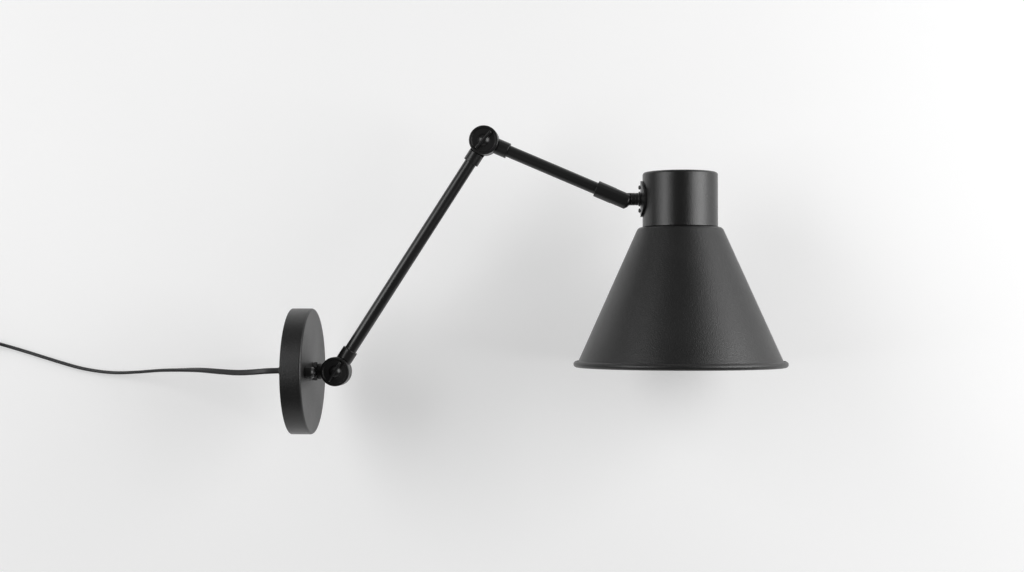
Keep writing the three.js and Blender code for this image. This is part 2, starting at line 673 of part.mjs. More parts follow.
function cordSet() {
  const group = new THREE.Group();
  group.add(piece('cord_lead', flex(LEAD_ROUTE, CORD_RADIUS, 30), blackPlastic()));
  group.add(piece('cord_mid', flex(MID_ROUTE, CORD_RADIUS, 5), blackPlastic()));
  group.add(piece('cord_end', flex(END_ROUTE, CORD_RADIUS, 3), blackPlastic()));
  const ring = alongY(pipe(COIL_INNER, COIL_OUTER, -COIL_HALF, COIL_HALF, 40));
  group.add(piece('cord_coil', ring.translate(...COIL_CENTRE), blackPlastic()));
  const tie = piece('coil_tie', coilTie(), blackPlastic());
  tie.position.set(COIL_CENTRE[0] - COIL_TURN, COIL_CENTRE[1], COIL_CENTRE[2]);
  group.add(tie);
  const body = piece('switch_body', switchBody(), blackPlastic());
  body.position.set(...SWITCH_MIDDLE);
  group.add(body);
  const rocker = piece('switch_rocker', switchRocker(), blackPlastic());
  rocker.position.set(SWITCH_MIDDLE[0], SWITCH_MIDDLE[1] - SWITCH_HALF[1] + 1, SWITCH_MIDDLE[2]);
  rocker.rotation.z = degrees(7);
  group.add(rocker);
  group.add(piece('plug_body', plugBody(), blackPlastic()));
  group.add(piece('plug_pin_upper', plugPin(1), steel()));
  group.add(piece('plug_pin_lower', plugPin(-1), steel()));
  return group;
}

// The whole lamp: each group turns about its own pivot on the one before it.
const sconce = new THREE.Group();
sconce.add(wallMount());
sconce.add(baseSwivel());

const lower = lowerArm();
lower.position.x = PIVOT_OUT;
lower.rotation.y = -degrees(LOWER_ANGLE);
sconce.add(lower);

const upper = upperArm();
upper.position.x = LOWER_ARM;
upper.rotation.y = degrees(LOWER_ANGLE - UPPER_ANGLE);
lower.add(upper);

const head = headGroup();
head.position.x = UPPER_ARM;
head.rotation.y = degrees(UPPER_ANGLE);
upper.add(head);

const BASE_BLADE_ANGLE = 58;
const ELBOW_BLADE_ANGLE = 48;

const baseKnob = knobAt('base_knob', BASE_BLADE_ANGLE);
baseKnob.position.x = PIVOT_OUT;
sconce.add(baseKnob);

const elbowKnob = knobAt('elbow_knob', ELBOW_BLADE_ANGLE - LOWER_ANGLE);
elbowKnob.position.x = LOWER_ARM;
lower.add(elbowKnob);

sconce.add(cordSet());

export default sconce;
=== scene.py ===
import json
import math

import bmesh
import bpy
from mathutils import Matrix, Vector


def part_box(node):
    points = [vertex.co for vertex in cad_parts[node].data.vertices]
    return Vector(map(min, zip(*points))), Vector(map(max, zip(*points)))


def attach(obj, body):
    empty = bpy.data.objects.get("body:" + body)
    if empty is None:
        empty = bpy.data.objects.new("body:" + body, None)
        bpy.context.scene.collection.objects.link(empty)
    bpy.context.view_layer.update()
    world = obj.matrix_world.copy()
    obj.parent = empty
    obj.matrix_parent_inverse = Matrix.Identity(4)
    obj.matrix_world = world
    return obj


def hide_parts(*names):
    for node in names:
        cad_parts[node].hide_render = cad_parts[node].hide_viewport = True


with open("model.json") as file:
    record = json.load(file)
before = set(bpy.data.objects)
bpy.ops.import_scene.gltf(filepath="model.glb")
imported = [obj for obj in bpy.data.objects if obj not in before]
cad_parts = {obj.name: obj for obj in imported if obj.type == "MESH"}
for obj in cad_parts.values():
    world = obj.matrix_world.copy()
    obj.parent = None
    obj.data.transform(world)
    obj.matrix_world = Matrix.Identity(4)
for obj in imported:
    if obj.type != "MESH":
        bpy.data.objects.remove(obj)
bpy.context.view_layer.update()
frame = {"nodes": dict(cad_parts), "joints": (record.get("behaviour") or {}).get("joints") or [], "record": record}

# Looks, camera and studio for the swing arm wall sconce. The CAD frame is in metres, with +Z up and
# +X out of the wall. Shapes below are drawn in millimetres about their own axis, then placed.

MM = 0.001
HALF_TURN = math.pi
PIVOT = {joint["name"]: Vector(joint["pos_m"]) for joint in frame["joints"]}
BASE = PIVOT["base_hinge"]
ELBOW = PIVOT["elbow_hinge"]
TILT = PIVOT["head_tilt"]


# ---------------- placing
def in_scene(name, data):
    """A new object in the scene."""
    obj = bpy.data.objects.new(name, data)
    bpy.context.scene.collection.objects.link(obj)
    return obj


def size(node):
    """A CAD node's length along X, Y and Z, in millimetres."""
    low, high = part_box(node)
    return (high - low) / MM


def placed(origin, along_x=(1, 0, 0), along_y=(0, 1, 0)):
    """The matrix from a piece's own millimetres to the frame."""
    x = Vector(along_x).normalized()
    z = x.cross(Vector(along_y)).normalized()
    y = z.cross(x)
    turn = Matrix((x, y, z)).transposed().to_4x4()
    return Matrix.Translation(origin) @ turn @ Matrix.Scale(MM, 4)


# ---------------- camera
CAMERA_AZIMUTH = 4.74               # degrees to the right of the front
CAMERA_ELEVATION = -0.96            # degrees up
CAMERA_DISTANCE = 1.5785
CAMERA_AIM = Vector((0.2099, 0, 0.0811))
LENS = 58.7
SENSOR_WIDTH = 36


def aimed(name, data, aim, azimuth, elevation, distance):
    """A camera or light that looks at a point from the given way and distance."""
    right, up = math.radians(azimuth), math.radians(elevation)
    away = Vector((math.sin(right) * math.cos(up), -math.cos(right) * math.cos(up), math.sin(up)))
    obj = in_scene(name, data)
    obj.location = aim + away * distance
    obj.rotation_euler = away.to_track_quat("Z", "Y").to_euler()
    return obj


def make_camera():
    data = bpy.data.cameras.new("camera")
    data.lens = LENS
    data.sensor_width = SENSOR_WIDTH
    data.clip_start = 0.01
    camera = aimed("camera", data, CAMERA_AIM, CAMERA_AZIMUTH, CAMERA_ELEVATION, CAMERA_DISTANCE)
    bpy.context.scene.camera = camera


make_camera()


# ---------------- materials
def principled(name, colour, roughness, metallic=0.0):
    """A new material and its shader. Even values sit on the shader's own sockets."""
    material = bpy.data.materials.new(name)
    material.use_nodes = True
    shader = material.node_tree.nodes["Principled BSDF"]
    shader.inputs["Base Color"].default_value = (*colour, 1)
    shader.inputs["Roughness"].default_value = roughness
    shader.inputs["Metallic"].default_value = metallic
    return material, shader


def add_node(material, kind, **settings):
    node = material.node_tree.nodes.new(kind)
    for socket, value in settings.items():
        node.inputs[socket].default_value = value
    return node


def link(material, source, output, target, socket):
    material.node_tree.links.new(source.outputs[output], target.inputs[socket])


def noise(material, scale, detail):
    """3-D noise in the piece's own metres, so that it moves with the piece."""
    place = add_node(material, "ShaderNodeTexCoord")
    texture = add_node(material, "ShaderNodeTexNoise", Scale=scale, Detail=detail)
    link(material, place, "Object", texture, "Vector")
    return texture


NOISE_LOW, NOISE_HIGH = 0.3, 0.7    # most of a noise's values lie between these


def vary_sheen(material, shader, texture, low, high):
    """Roughness that follows a noise between two values."""
    limits = {"From Min": NOISE_LOW, "From Max": NOISE_HIGH, "To Min": low, "To Max": high}
    node = add_node(material, "ShaderNodeMapRange", **limits)
    link(material, texture, "Fac", node, "Value")
    link(material, node, "Result", shader, "Roughness")


def mottle(material, shader, texture, dark, light):
    """Base colour that drifts between two shades."""
    ramp = add_node(material, "ShaderNodeValToRGB")
    ramp.color_ramp.elements[0].position = NOISE_LOW
    ramp.color_ramp.elements[0].color = (*dark, 1)
    ramp.color_ramp.elements[1].position = NOISE_HIGH
    ramp.color_ramp.elements[1].color = (*light, 1)
    link(material, texture, "Fac", ramp, "Fac")
    link(material, ramp, "Color", shader, "Base Color")


def bump(material, shader, textures, strength, distance):
    """One bump from several height textures, coarse first."""
    last = None
    for texture, share in textures:
        node = add_node(material, "ShaderNodeBump", Strength=strength * share, Distance=distance)
        link(material, texture, "Fac", node, "Height")
        if last is not None:
            link(material, last, "Normal", node, "Normal")
        last = node
    link(material, last, "Normal", shader, "Normal")


def grey(value):
    return (value, value, value)


PAINT_GLOSS = 0.6                   # a lacquer that mirrors a little more than usual
PAINT_RELIEF = 0.0003               # metres
COARSE_SHARE = 0.15                 # of the fine grain's strength


def painted(name, shade, spread, roughness, grain, strength):
    """Sprayed paint: a fine grain over a slow drift in tone and sheen."""
    material, shader = principled(name, grey(shade), roughness)
    shader.inputs["Specular IOR Level"].default_value = PAINT_GLOSS
    fine = noise(material, grain, 3)
    slow = noise(material, 18, 2)
    mottle(material, shader, fine, grey(shade * (1 - spread)), grey(shade * (1 + spread)))
    vary_sheen(material, shader, slow, roughness - 0.04, roughness + 0.04)
    coarse = noise(material, grain / 3, 2)
    bump(material, shader, [(coarse, COARSE_SHARE), (fine, 1)], strength, PAINT_RELIEF)
    return material


def metal(name, colour, roughness):
    """Bare or plated metal with faint tool marks."""
    material, shader = principled(name, colour, roughness, metallic=1.0)
    marks = noise(material, 900, 4)
    dark = tuple(0.85 * part for part in colour)
    mottle(material, shader, marks, dark, colour)
    vary_sheen(material, shader, marks, roughness - 0.06, roughness + 0.1)
    bump(material, shader, [(marks, 1)], 0.12, 0.0001)
    return material


def moulded(name, colour, roughness, grain, strength, spread=0.06):
    """Moulded plastic, rubber or fibre."""
    material, shader = principled(name, colour, roughness)
    fine = noise(material, grain, 2)
    dark = tuple((1 - spread) * part for part in colour)
    light = tuple((1 + spread) * part for part in colour)
    mottle(material, shader, noise(material, 60, 3), dark, light)
    vary_sheen(material, shader, fine, roughness - 0.05, roughness + 0.05)
    bump(material, shader, [(fine, 1)], strength, 0.0002)
    return material


FINISH = {
    "black_powder": painted("powder_coat", 0.0050, 0.30, 0.37, 1000, 0.85),
    "black_satin": painted("satin_coat", 0.0045, 0.25, 0.29, 1100, 0.55),
    "black_gloss": painted("semi_gloss_paint", 0.0045, 0.08, 0.30, 1200, 0.12),
    "zinc_steel": metal("zinc_plate", (0.56, 0.57, 0.58), 0.34),
    "nickel": metal("nickel_plate", (0.66, 0.64, 0.60), 0.20),
    "brass": metal("brass", (0.70, 0.53, 0.27), 0.28),
    "bakelite": moulded("bakelite", (0.011, 0.010, 0.009), 0.24, 500, 0.05),
    "black_plastic": moulded("black_plastic", (0.014, 0.014, 0.015), 0.45, 1500, 0.18),
    "cord_sheath": moulded("cord_sheath", (0.012, 0.012, 0.013), 0.42, 700, 0.10),
    "white_plastic": moulded("white_plastic", (0.78, 0.77, 0.74), 0.38, 900, 0.05, 0.02),
    "opal_plastic": moulded("opal_plastic", (0.86, 0.85, 0.82), 0.50, 700, 0.03, 0.01),
    "fibre": moulded("fibre", (0.15, 0.095, 0.055), 0.85, 1400, 0.5, 0.2),
}
SLOT_OF = {part["node"]: part["material_slot"] for part in frame["record"]["subparts"]}


# ---------------- making meshes
WELD = 1e-5                         # points nearer than this become one
ON_AXIS = 1e-6
NEARLY_STRAIGHT = math.radians(84)  # half the angle of a corner that is left sharp


def new_mesh(name, points, faces):
    """A welded mesh from points and faces, with its normals outward."""
    mesh = bpy.data.meshes.new(name)
    mesh.from_pydata([tuple(point) for point in points], [], faces)
    work = bmesh.new()
    work.from_mesh(mesh)
    bmesh.ops.remove_doubles(work, verts=work.verts, dist=WELD)
    bmesh.ops.recalc_face_normals(work, faces=work.faces)
    work.to_mesh(mesh)
    work.free()
    return mesh


def rounded(profile, radius=0.3, steps=3):
    """A closed profile with an arc at each corner. A third number in a point is its own radius."""
    found = []
    for i, corner in enumerate(profile):
        here = Vector(corner[:2])
        to_last = Vector(profile[i - 1][:2]) - here
        to_next = Vector(profile[(i + 1) % len(profile)][:2]) - here
        half = to_last.angle(to_next) / 2
        wanted = corner[2] if len(corner) > 2 else radius
        if here.x < ON_AXIS or wanted <= 0 or half > NEARLY_STRAIGHT:
            found.append(here)
            continue
        reach = min(wanted / math.tan(half), 0.48 * to_last.length, 0.48 * to_next.length)
        first, last = here + to_last.normalized() * reach, here + to_next.normalized() * reach
        middle = (to_last.normalized() + to_next.normalized()).normalized()
        centre = here + middle * (reach / math.cos(half))
        count = steps if wanted < 1 else 3 * steps
        for step in range(count + 1):
            spoke = (first - centre).lerp(last - centre, step / count)
            found.append(centre + spoke.normalized() * (first - centre).length)
    return found


def arc(centre, radius, start, end, steps):
    """Points of an arc in a profile, between two angles in degrees."""
    angles = [math.radians(start + (end - start) * step / steps) for step in range(steps + 1)]
    return [(centre[0] + radius * math.cos(a), centre[1] + radius * math.sin(a)) for a in angles]


def turned(profile, sides=72):
    """A closed profile of (radius, height) points turned about Z."""
    points = []
    for side in range(sides):
        angle = 2 * HALF_TURN * side / sides
        points += [(r * math.cos(angle), r * math.sin(angle), z) for r, z in profile]
    faces = []
    count = len(profile)
    for side in range(sides):
        after = (side + 1) % sides
        for i in range(count):
            j = (i + 1) % count
            if profile[i][0] > ON_AXIS or profile[j][0] > ON_AXIS:
                faces.append((side * count + i, side * count + j, after * count + j, after * count + i))
    return new_mesh("turned", points, faces)


def pipe(inner, outer, low, high, edge=0.0, sides=72):
    return turned(rounded([(inner, low), (outer, low), (outer, high), (inner, high)], edge), sides)


def rod(radius, low, high, edge=0.0, sides=72):
    return pipe(0, radius, low, high, edge, sides)


def skin(count, rings):
    """The faces round rings of count points each, and the two faces that close the ends."""
    total = count * rings
    faces = [tuple(range(count)), tuple(range(total - count, total))]
    for ring in range(rings - 1):
        for side in range(count):
            a, b = ring * count + side, ring * count + (side + 1) % count
            faces.append((a, b, b + count, a + count))
    return faces


def stacked(levels):
    """A body through flat outlines of (x, y) points, each at its own height."""
    points = [(x, y, height) for outline, height in levels for x, y in outline]
    return new_mesh("stacked", points, skin(len(levels[0][0]), len(levels)))


def prism(outline, low, high):
    return stacked([(outline, low), (outline, high)])


def block(low, high):
    outline = [(low[0], low[1]), (high[0], low[1]), (high[0], high[1]), (low[0], high[1])]
    return prism(outline, low[2], high[2])


def stadium(length, width):
    """An outline with straight sides along X and round ends."""
    reach, radius = (length - width) / 2, width / 2
    return arc((reach, 0), radius, -90, 90, 12) + arc((-reach, 0), radius, 90, 270, 12)


def hexagon(across_flats):
    return arc((0, 0), across_flats / math.sqrt(3), 0, 300, 5)


def moved(mesh, *matrices):
    for matrix in matrices:
        mesh.transform(matrix)
    return mesh


ALONG_X = Matrix.Rotation(HALF_TURN / 2, 4, "Y")
ALONG_Y = Matrix.Rotation(-HALF_TURN / 2, 4, "X")
# Heights go along X, and an outline's own x and y become Y and Z.
OUTLINES_ALONG_X = Matrix(((0, 0, 1, 0), (1, 0, 0, 0), (0, 1, 0, 0), (0, 0, 0, 1)))
ABOUT_Z = Matrix.Rotation(HALF_TURN / 2, 4, "Z")


def shift(x=0, y=0, z=0):
    return Matrix.Translation((x, y, z))


def combined(base, *steps):
    """The base mesh after each (operation, mesh) step."""
    body = in_scene("combined", base)
    tools = []
    for operation, mesh in steps:
        tool = in_scene("tool", mesh)
        tools.append(tool)
        modifier = body.modifiers.new("step", "BOOLEAN")
        modifier.operation = operation
        modifier.solver = "MANIFOLD"
        modifier.object = tool
    graph = bpy.context.evaluated_depsgraph_get()
    result = bpy.data.meshes.new_from_object(body.evaluated_get(graph))
    for obj in [body, *tools]:
        bpy.data.objects.remove(obj)
    return result


def join(base, *others):
    return combined(base, *(("UNION", mesh) for mesh in others))


def cut(base, *others):
    return combined(base, *(("DIFFERENCE", mesh) for mesh in others))


def common(base, other):
    return combined(base, ("INTERSECT", other))


SLIVER = 1e-6                       # metres, the widest gap that joining points closes
SHARP_ANGLE = 40                    # degrees from which an edge is broken by a bevel


def without_slivers(mesh):
    """Joins the points that boolean steps leave almost on top of each other."""
    work = bmesh.new()
    work.from_mesh(mesh)
    bmesh.ops.remove_doubles(work, verts=work.verts, dist=SLIVER)
    bmesh.ops.dissolve_degenerate(work, edges=work.edges, dist=SLIVER)
    work.to_mesh(mesh)
    work.free()


def add_piece(name, mesh, matrix, body, nodes, bevel=0.0, crease=32):
    """Places a mesh in the frame as a named piece that stands for CAD nodes. crease is in degrees."""
    without_slivers(mesh)
    mesh.transform(matrix)
    mesh.shade_smooth()
    mesh.set_sharp_from_angle(angle=math.radians(crease))
    slot = SLOT_OF[nodes[0]]
    mesh.materials.clear()
    mesh.materials.append(FINISH[slot])
    obj = in_scene(name, mesh)
    soften(obj, bevel)
    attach(obj, body)
    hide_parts(*nodes)
    return obj


def soften(obj, bevel):
    """Breaks sharp edges by a bevel in millimetres, and evens the shading beside them."""
    if bevel:
        modifier = obj.modifiers.new("broken_edges", "BEVEL")
        modifier.width = bevel * MM
        modifier.segments = 2
        modifier.limit_method = "ANGLE"
        modifier.angle_limit = math.radians(SHARP_ANGLE)
        modifier = obj.modifiers.new("no_slivers", "WELD")
        modifier.merge_threshold = SLIVER
    modifier = obj.modifiers.new("even_shading", "WEIGHTED_NORMAL")
    modifier.keep_sharp = True


def bare_metal(obj, finish, test):
    """Shows another finish on the faces whose centres pass a test."""
    obj.data.materials.append(FINISH[finish])
    for face in obj.data.polygons:
        if test(face.center):
            face.material_index = 1


# ---------------- cord
CORD_WIDTH = 5.6 * MM
CORD_THICKNESS = 3.4 * MM
CORD_SPACING = 2.5 * MM             # between the rings of points along it
GAP = 0.3                           # between pieces that don't touch
GLAND_LOW, GLAND_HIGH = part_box("cord_gland")
GLAND_OFFSET = 15                   # beside the stem
CORD_START = (GLAND_LOW.x / MM - GAP, GLAND_OFFSET, 0)
COIL_CENTRE = (-468, 96.8, -6)
COIL_TURN = 33                      # radius of the bundle's middle
ROW_PITCH = 4.3
LAYER_PITCH = 6.4
COIL_TURNS = 7.5
COIL_STEPS = 40                     # points for each turn
ROW_CHANGE = 0.22                   # share of a turn that moving to the next row takes
LAYER_CHANGE = 0.25                 # share of a turn that entering and leaving the coil take
TWIST_START, TWIST_LENGTH = 20, 150

LEAD_ROUTE = [
    CORD_START, (-30, 15, -0.5), (-42, 18, -1.5), (-60, 27, -2.5), (-80, 39, -2),
    (-105, 54, -1), (-130, 69, -1.5), (-155, 82, -2.5), (-180, 92, -4.5), (-205, 98.5, -5.5),
    (-225, 101, -4), (-245, 101.9, -0.5), (-265, 101.9, 5), (-285, 101.9, 11),
    (-305, 101.9, 17), (-322, 100.5, 22), (-334, 97, 25.5), (-342, 95.7, 27),
]
MID_ROUTE = [(-349, 95.7, 27), (-378, 95.7, 27), (-407, 95.7, 27), (-412, 95.7, 27), (-430, 96.5, 31.8)]
END_ROUTE = [(-447.6, 96.8, -45.45), (-436, 97.2, -46.5), (-430, 97.7, -48), (-420, 97.7, -48)]


def smooth(share):
    share = min(1, max(0, share))
    return share * share * (3 - 2 * share)


def coil_points():
    """Four turns inward in the layer near the surface, then back out in the other layer."""
    rows = [1.5, 0.5, -0.5, -1.5, -1.5, -0.5, 0.5, 1.5, 1.5]
    layers = [0.5, 0.5, 0.5, 0.5, -0.5, -0.5, -0.5, -0.5, -0.5]
    points = []
    for step in range(round(COIL_TURNS * COIL_STEPS) + 1):
        turns = step / COIL_STEPS
        whole = min(int(turns), len(rows) - 2)
        move = smooth((turns - whole - 1 + ROW_CHANGE) / ROW_CHANGE)
        row = rows[whole] + (rows[whole + 1] - rows[whole]) * move
        layer = layers[whole] + (layers[whole + 1] - layers[whole]) * move
        layer *= smooth(turns / LAYER_CHANGE) * smooth((COIL_TURNS - turns) / LAYER_CHANGE)
        angle = math.radians(90 + 360 * turns)
        radius = COIL_TURN + row * ROW_PITCH
        points.append((
            COIL_CENTRE[0] + radius * math.cos(angle),
            COIL_CENTRE[1] + layer * LAYER_PITCH,
            COIL_CENTRE[2] + radius * math.sin(angle),
        ))
    return points


def through(knots, spacing):
    """Points about spacing apart on one smooth curve through the given ones."""
    ends = [2 * knots[0] - knots[1], *knots, 2 * knots[-1] - knots[-2]]
    found = []
    for before, a, b, after in zip(ends, ends[1:], ends[2:], ends[3:]):
        gaps = [max((q - p).length, 1e-6) ** 0.5 for p, q in ((before, a), (a, b), (b, after))]
        leave = (a - before) / gaps[0] - (b - before) / (gaps[0] + gaps[1]) + (b - a) / gaps[1]
        arrive = (b - a) / gaps[1] - (after - a) / (gaps[1] + gaps[2]) + (after - b) / gaps[2]
        steps = max(1, round((b - a).length / spacing))
        for step in range(steps):
            t = step / steps
            found.append(
                a * (2 * t**3 - 3 * t**2 + 1) + leave * gaps[1] * (t**3 - 2 * t**2 + t)
                + b * (3 * t**2 - 2 * t**3) + arrive * gaps[1] * (t**3 - t**2)
            )
    return [*found, knots[-1]]


def oval(width, thickness, sides=20):
    """A flat cord's section: two round edges and a slightly sunk middle."""
    round_part = thickness / 2
    flat = width / 2 - round_part
    points = []
    for i in range(sides):
        angle = 2 * HALF_TURN * i / sides
        across = flat * math.tanh(3 * math.cos(angle)) / math.tanh(3) + round_part * math.cos(angle)
        sunk = 1 - 0.10 * math.exp(-((across / (0.18 * width)) ** 2))
        points.append((across, round_part * math.sin(angle) * sunk))
    return points


def swept(route, section, width_way):
    """A closed tube along a route. width_way(point) is the way that the section's width lies."""
    points = []
    for i, centre in enumerate(route):
        ahead = (route[min(i + 1, len(route) - 1)] - route[max(i - 1, 0)]).normalized()
        across = width_way(centre)
        across = (across - ahead * across.dot(ahead)).normalized()
        up = ahead.cross(across)
        points += [centre + across * u + up * v for u, v in section]
    return new_mesh("swept", points, skin(len(section), len(route)))


def cord_width_way(point):
    """Flat to the room at the plate, and on edge where the cord bends along the surface."""
    share = smooth((-point.x / MM - TWIST_START) / TWIST_LENGTH)
    return Vector((0, 0, 1)).lerp(Vector((0, 1, 0)), share).normalized()


def make_cord():
    """One flat cord, from the gland through the switch and its coil to the plug."""
    knots = [Vector(point) * MM for point in LEAD_ROUTE + MID_ROUTE + coil_points() + END_ROUTE[1:]]
    route = through(knots, CORD_SPACING)
    mesh = swept(route, oval(CORD_WIDTH, CORD_THICKNESS), cord_width_way)
    nodes = ["cord_lead", "cord_mid", "cord_end", "cord_coil"]
    return add_piece("cord", mesh, Matrix.Identity(4), "wall_mount", nodes, crease=60), route


cord, cord_route = make_cord()


# ---------------- studio
def paper():
    """Pale paper with a faint glow. It shows only its front, so a camera behind it sees past it."""
    colour = grey(PAPER_GREY)
    material, shader = principled("pale_paper", colour, PAPER_ROUGHNESS)
    mottle(material, shader, noise(material, 6, 3), tuple(0.985 * part for part in colour), colour)
    shader.inputs["Emission Color"].default_value = (1, 1, 1, 1)
    shader.inputs["Emission Strength"].default_value = PAPER_GLOW
    side = add_node(material, "ShaderNodeNewGeometry")
    clear = add_node(material, "ShaderNodeBsdfTransparent")
    mix = add_node(material, "ShaderNodeMixShader")
    link(material, side, "Backfacing", mix, "Fac")
    link(material, shader, "BSDF", mix, 1)
    link(material, clear, "BSDF", mix, 2)
    link(material, mix, "Shader", material.node_tree.nodes["Material Output"], "Surface")
    return material


BACKDROP_Y = 0.1052
BACKDROP_TOP = 2.4
FLOOR_Z = -2.4
FLOOR_FRONT = -0.9
SWEEP = 0.50                        # radius where the backdrop curves into the floor
STAGE_HALF_WIDTH = 3.0
PAPER_GLOW = 0.36                   # the paper is lit softly from behind
PAPER_GREY = 0.66
PAPER_ROUGHNESS = 0.9


def make_stage():
    """A pale backdrop that the cord rests against, curving into a pale floor below the view."""
    curve = arc((BACKDROP_Y - SWEEP, FLOOR_Z + SWEEP), SWEEP, 0, -90, 16)
    line = [(BACKDROP_Y, BACKDROP_TOP), *curve, (FLOOR_FRONT, FLOOR_Z)]
    points = [(x, y, z) for y, z in line for x in (-STAGE_HALF_WIDTH, STAGE_HALF_WIDTH)]
    faces = [(2 * i, 2 * i + 2, 2 * i + 3, 2 * i + 1) for i in range(len(line) - 1)]
    mesh = bpy.data.meshes.new("backdrop")
    mesh.from_pydata(points, [], faces)
    mesh.shade_smooth()
    mesh.materials.append(paper())
    backdrop = in_scene("backdrop", mesh)


LIGHT_AIM = Vector((0.30, 0, 0.08))
LIGHT_DISTANCE = 1.5
# Softboxes round the lamp: degrees to the right of the front, degrees up, width, height, brightness.
SOFTBOXES = {
    "right_front": (48, 10, 0.6, 1.2, 3.4),
    "right_side": (68, 10, 0.6, 1.2, 4.4),
    "right_edge": (88, 10, 0.6, 1.2, 1.8),
    "right_above": (72, 45, 0.9, 0.7, 0.8),
    "left_front": (-45, 10, 0.6, 1.2, 3.4),
    "left_side": (-66, 10, 0.6, 1.2, 1.2),
    "top": (0, 62, 1.4, 0.7, 0.2),
}
WORLD_FILL = 0.12
WORLD_SEEN = 0.84                   # what the camera sees beyond the backdrop


def softbox(name, azimuth, elevation, width, height, brightness):
    data = bpy.data.lights.new(name, "AREA")
    data.shape = "RECTANGLE"
    data.size, data.size_y = width, height
    data.energy = brightness * math.pi * width * height
    light = aimed(name, data, LIGHT_AIM, azimuth, elevation, LIGHT_DISTANCE)
    light.visible_camera = False


def make_world():
    """A dim even fill, which looks pale where the camera sees past the backdrop."""
    world = bpy.data.worlds.new("studio")
    world.use_nodes = True
    nodes, links = world.node_tree.nodes, world.node_tree.links
    fill = nodes["Background"]
    fill.inputs["Strength"].default_value = WORLD_FILL
    seen = nodes.new("ShaderNodeBackground")
    seen.inputs["Strength"].default_value = WORLD_SEEN
    for background in (fill, seen):
        background.inputs["Color"].default_value = (1, 1, 1, 1)
    path = nodes.new("ShaderNodeLightPath")
    mix = nodes.new("ShaderNodeMixShader")
    links.new(path.outputs["Is Camera Ray"], mix.inputs["Fac"])
    links.new(fill.outputs["Background"], mix.inputs[1])
    links.new(seen.outputs["Background"], mix.inputs[2])
    links.new(mix.outputs["Shader"], nodes["World Output"].inputs["Surface"])
    bpy.context.scene.world = world


def make_lights():
    for name, settings in SOFTBOXES.items():
        softbox(name, *settings)
    make_world()
    bpy.context.scene.view_settings.view_transform = "Standard"


make_stage()
make_lights()

# ---------------- frames that pieces are drawn in
LOWER_WAY = (ELBOW - BASE).normalized()
UPPER_WAY = (TILT - ELBOW).normalized()
ACROSS = Vector((0, 1, 0))
WALL = placed((0, 0, 0))
BASE_IN = placed(BASE, (-1, 0, 0), ACROSS)
LOWER_OUT = placed(BASE, LOWER_WAY, ACROSS)
LOWER_IN = placed(ELBOW, -LOWER_WAY, ACROSS)
UPPER_OUT = placed(ELBOW, UPPER_WAY, ACROSS)
UPPER_IN = placed(TILT, UPPER_WAY, ACROSS)
HEAD = placed(TILT)
LOWER_LENGTH = (ELBOW - BASE).length / MM
UPPER_LENGTH = (TILT - ELBOW).length / MM
CUP_LOW, CUP_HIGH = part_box("holder_cup")
CUP_OUT = (CUP_LOW.x + CUP_HIGH.x) / 2 / MM - TILT.x / MM
CUP = placed((TILT.x + CUP_OUT * MM, 0, TILT.z))
CUP_RADIUS = size("holder_cup").y / 2
CUP_TOP = (CUP_HIGH.z - TILT.z) / MM
SEAM = (CUP_LOW.z - TILT.z) / MM
FLANGE_OUTER = CUP_OUT - (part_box("cup_flange")[0].x - TILT.x) / MM
FLANGE_RADIUS = size("cup_flange").z / 2
FROM_CUP = shift(x=-CUP_OUT)        # moves a shape drawn about the head's pivot to the cup's axis

# ---------------- wall plate
PLATE_RADIUS = size("wall_plate").z / 2
PLATE_DEPTH = size("wall_plate").x
PLATE_EDGE = 2.2                    # rounding of its front edge
SHEET = 1.5
STEM_RADIUS = 5
COVER_HOLE_RADIUS = 2.4
COVER_SCREW_OFFSET = 39
COVER_SCREW_RADIUS = 5.5
COVER_SCREW_HEIGHT = 8.7            # of its cap, above the plate
COVER_SHANK_RADIUS = 2
COVER_SHANK_END = 0.8
GLAND_HEAD, GLAND_THROAT, GLAND_COLLAR, GLAND_TIP = 7, 5, 6.2, 3.6      # radii
GLAND_HEAD_FACE = 2.3
GLAND_COLLAR_END = -3.0
GLAND_RIBS = 5
GLAND_TAIL, GLAND_TAPER = 6.0, 2.2


def wall_plate():
    profile = [(STEM_RADIUS + GAP, PLATE_DEPTH - SHEET), (STEM_RADIUS + GAP, PLATE_DEPTH),
               (PLATE_RADIUS, PLATE_DEPTH, PLATE_EDGE), (PLATE_RADIUS, 0, 0.4),
               (PLATE_RADIUS - SHEET, 0, 0.4), (PLATE_RADIUS - SHEET, PLATE_DEPTH - SHEET, 1.2)]
    shell = moved(turned(rounded(profile), 180), ALONG_X)
    hole = (COVER_HOLE_RADIUS, PLATE_DEPTH - 5, PLATE_DEPTH + 5)
    holes = [moved(rod(*hole), ALONG_X, shift(y=side * COVER_SCREW_OFFSET)) for side in (-1, 1)]
    add_piece("plate", cut(shell, *holes), WALL, "wall_mount", ["wall_plate"])


def cross_recess(top, depth, reach, width):
    """Two crossed slots that narrow towards their bottom."""
    arms = []
    for turn in (0, 1):
        half, foot = width / 2, width / 3
        outline = [(-foot, top - depth), (foot, top - depth), (half, top + 1), (-half, top + 1)]
        arm = moved(prism(outline, -reach, reach), Matrix.Rotation(HALF_TURN / 2, 4, "X"))
        arms.append(moved(arm, ABOUT_Z) if turn else arm)
    return arms


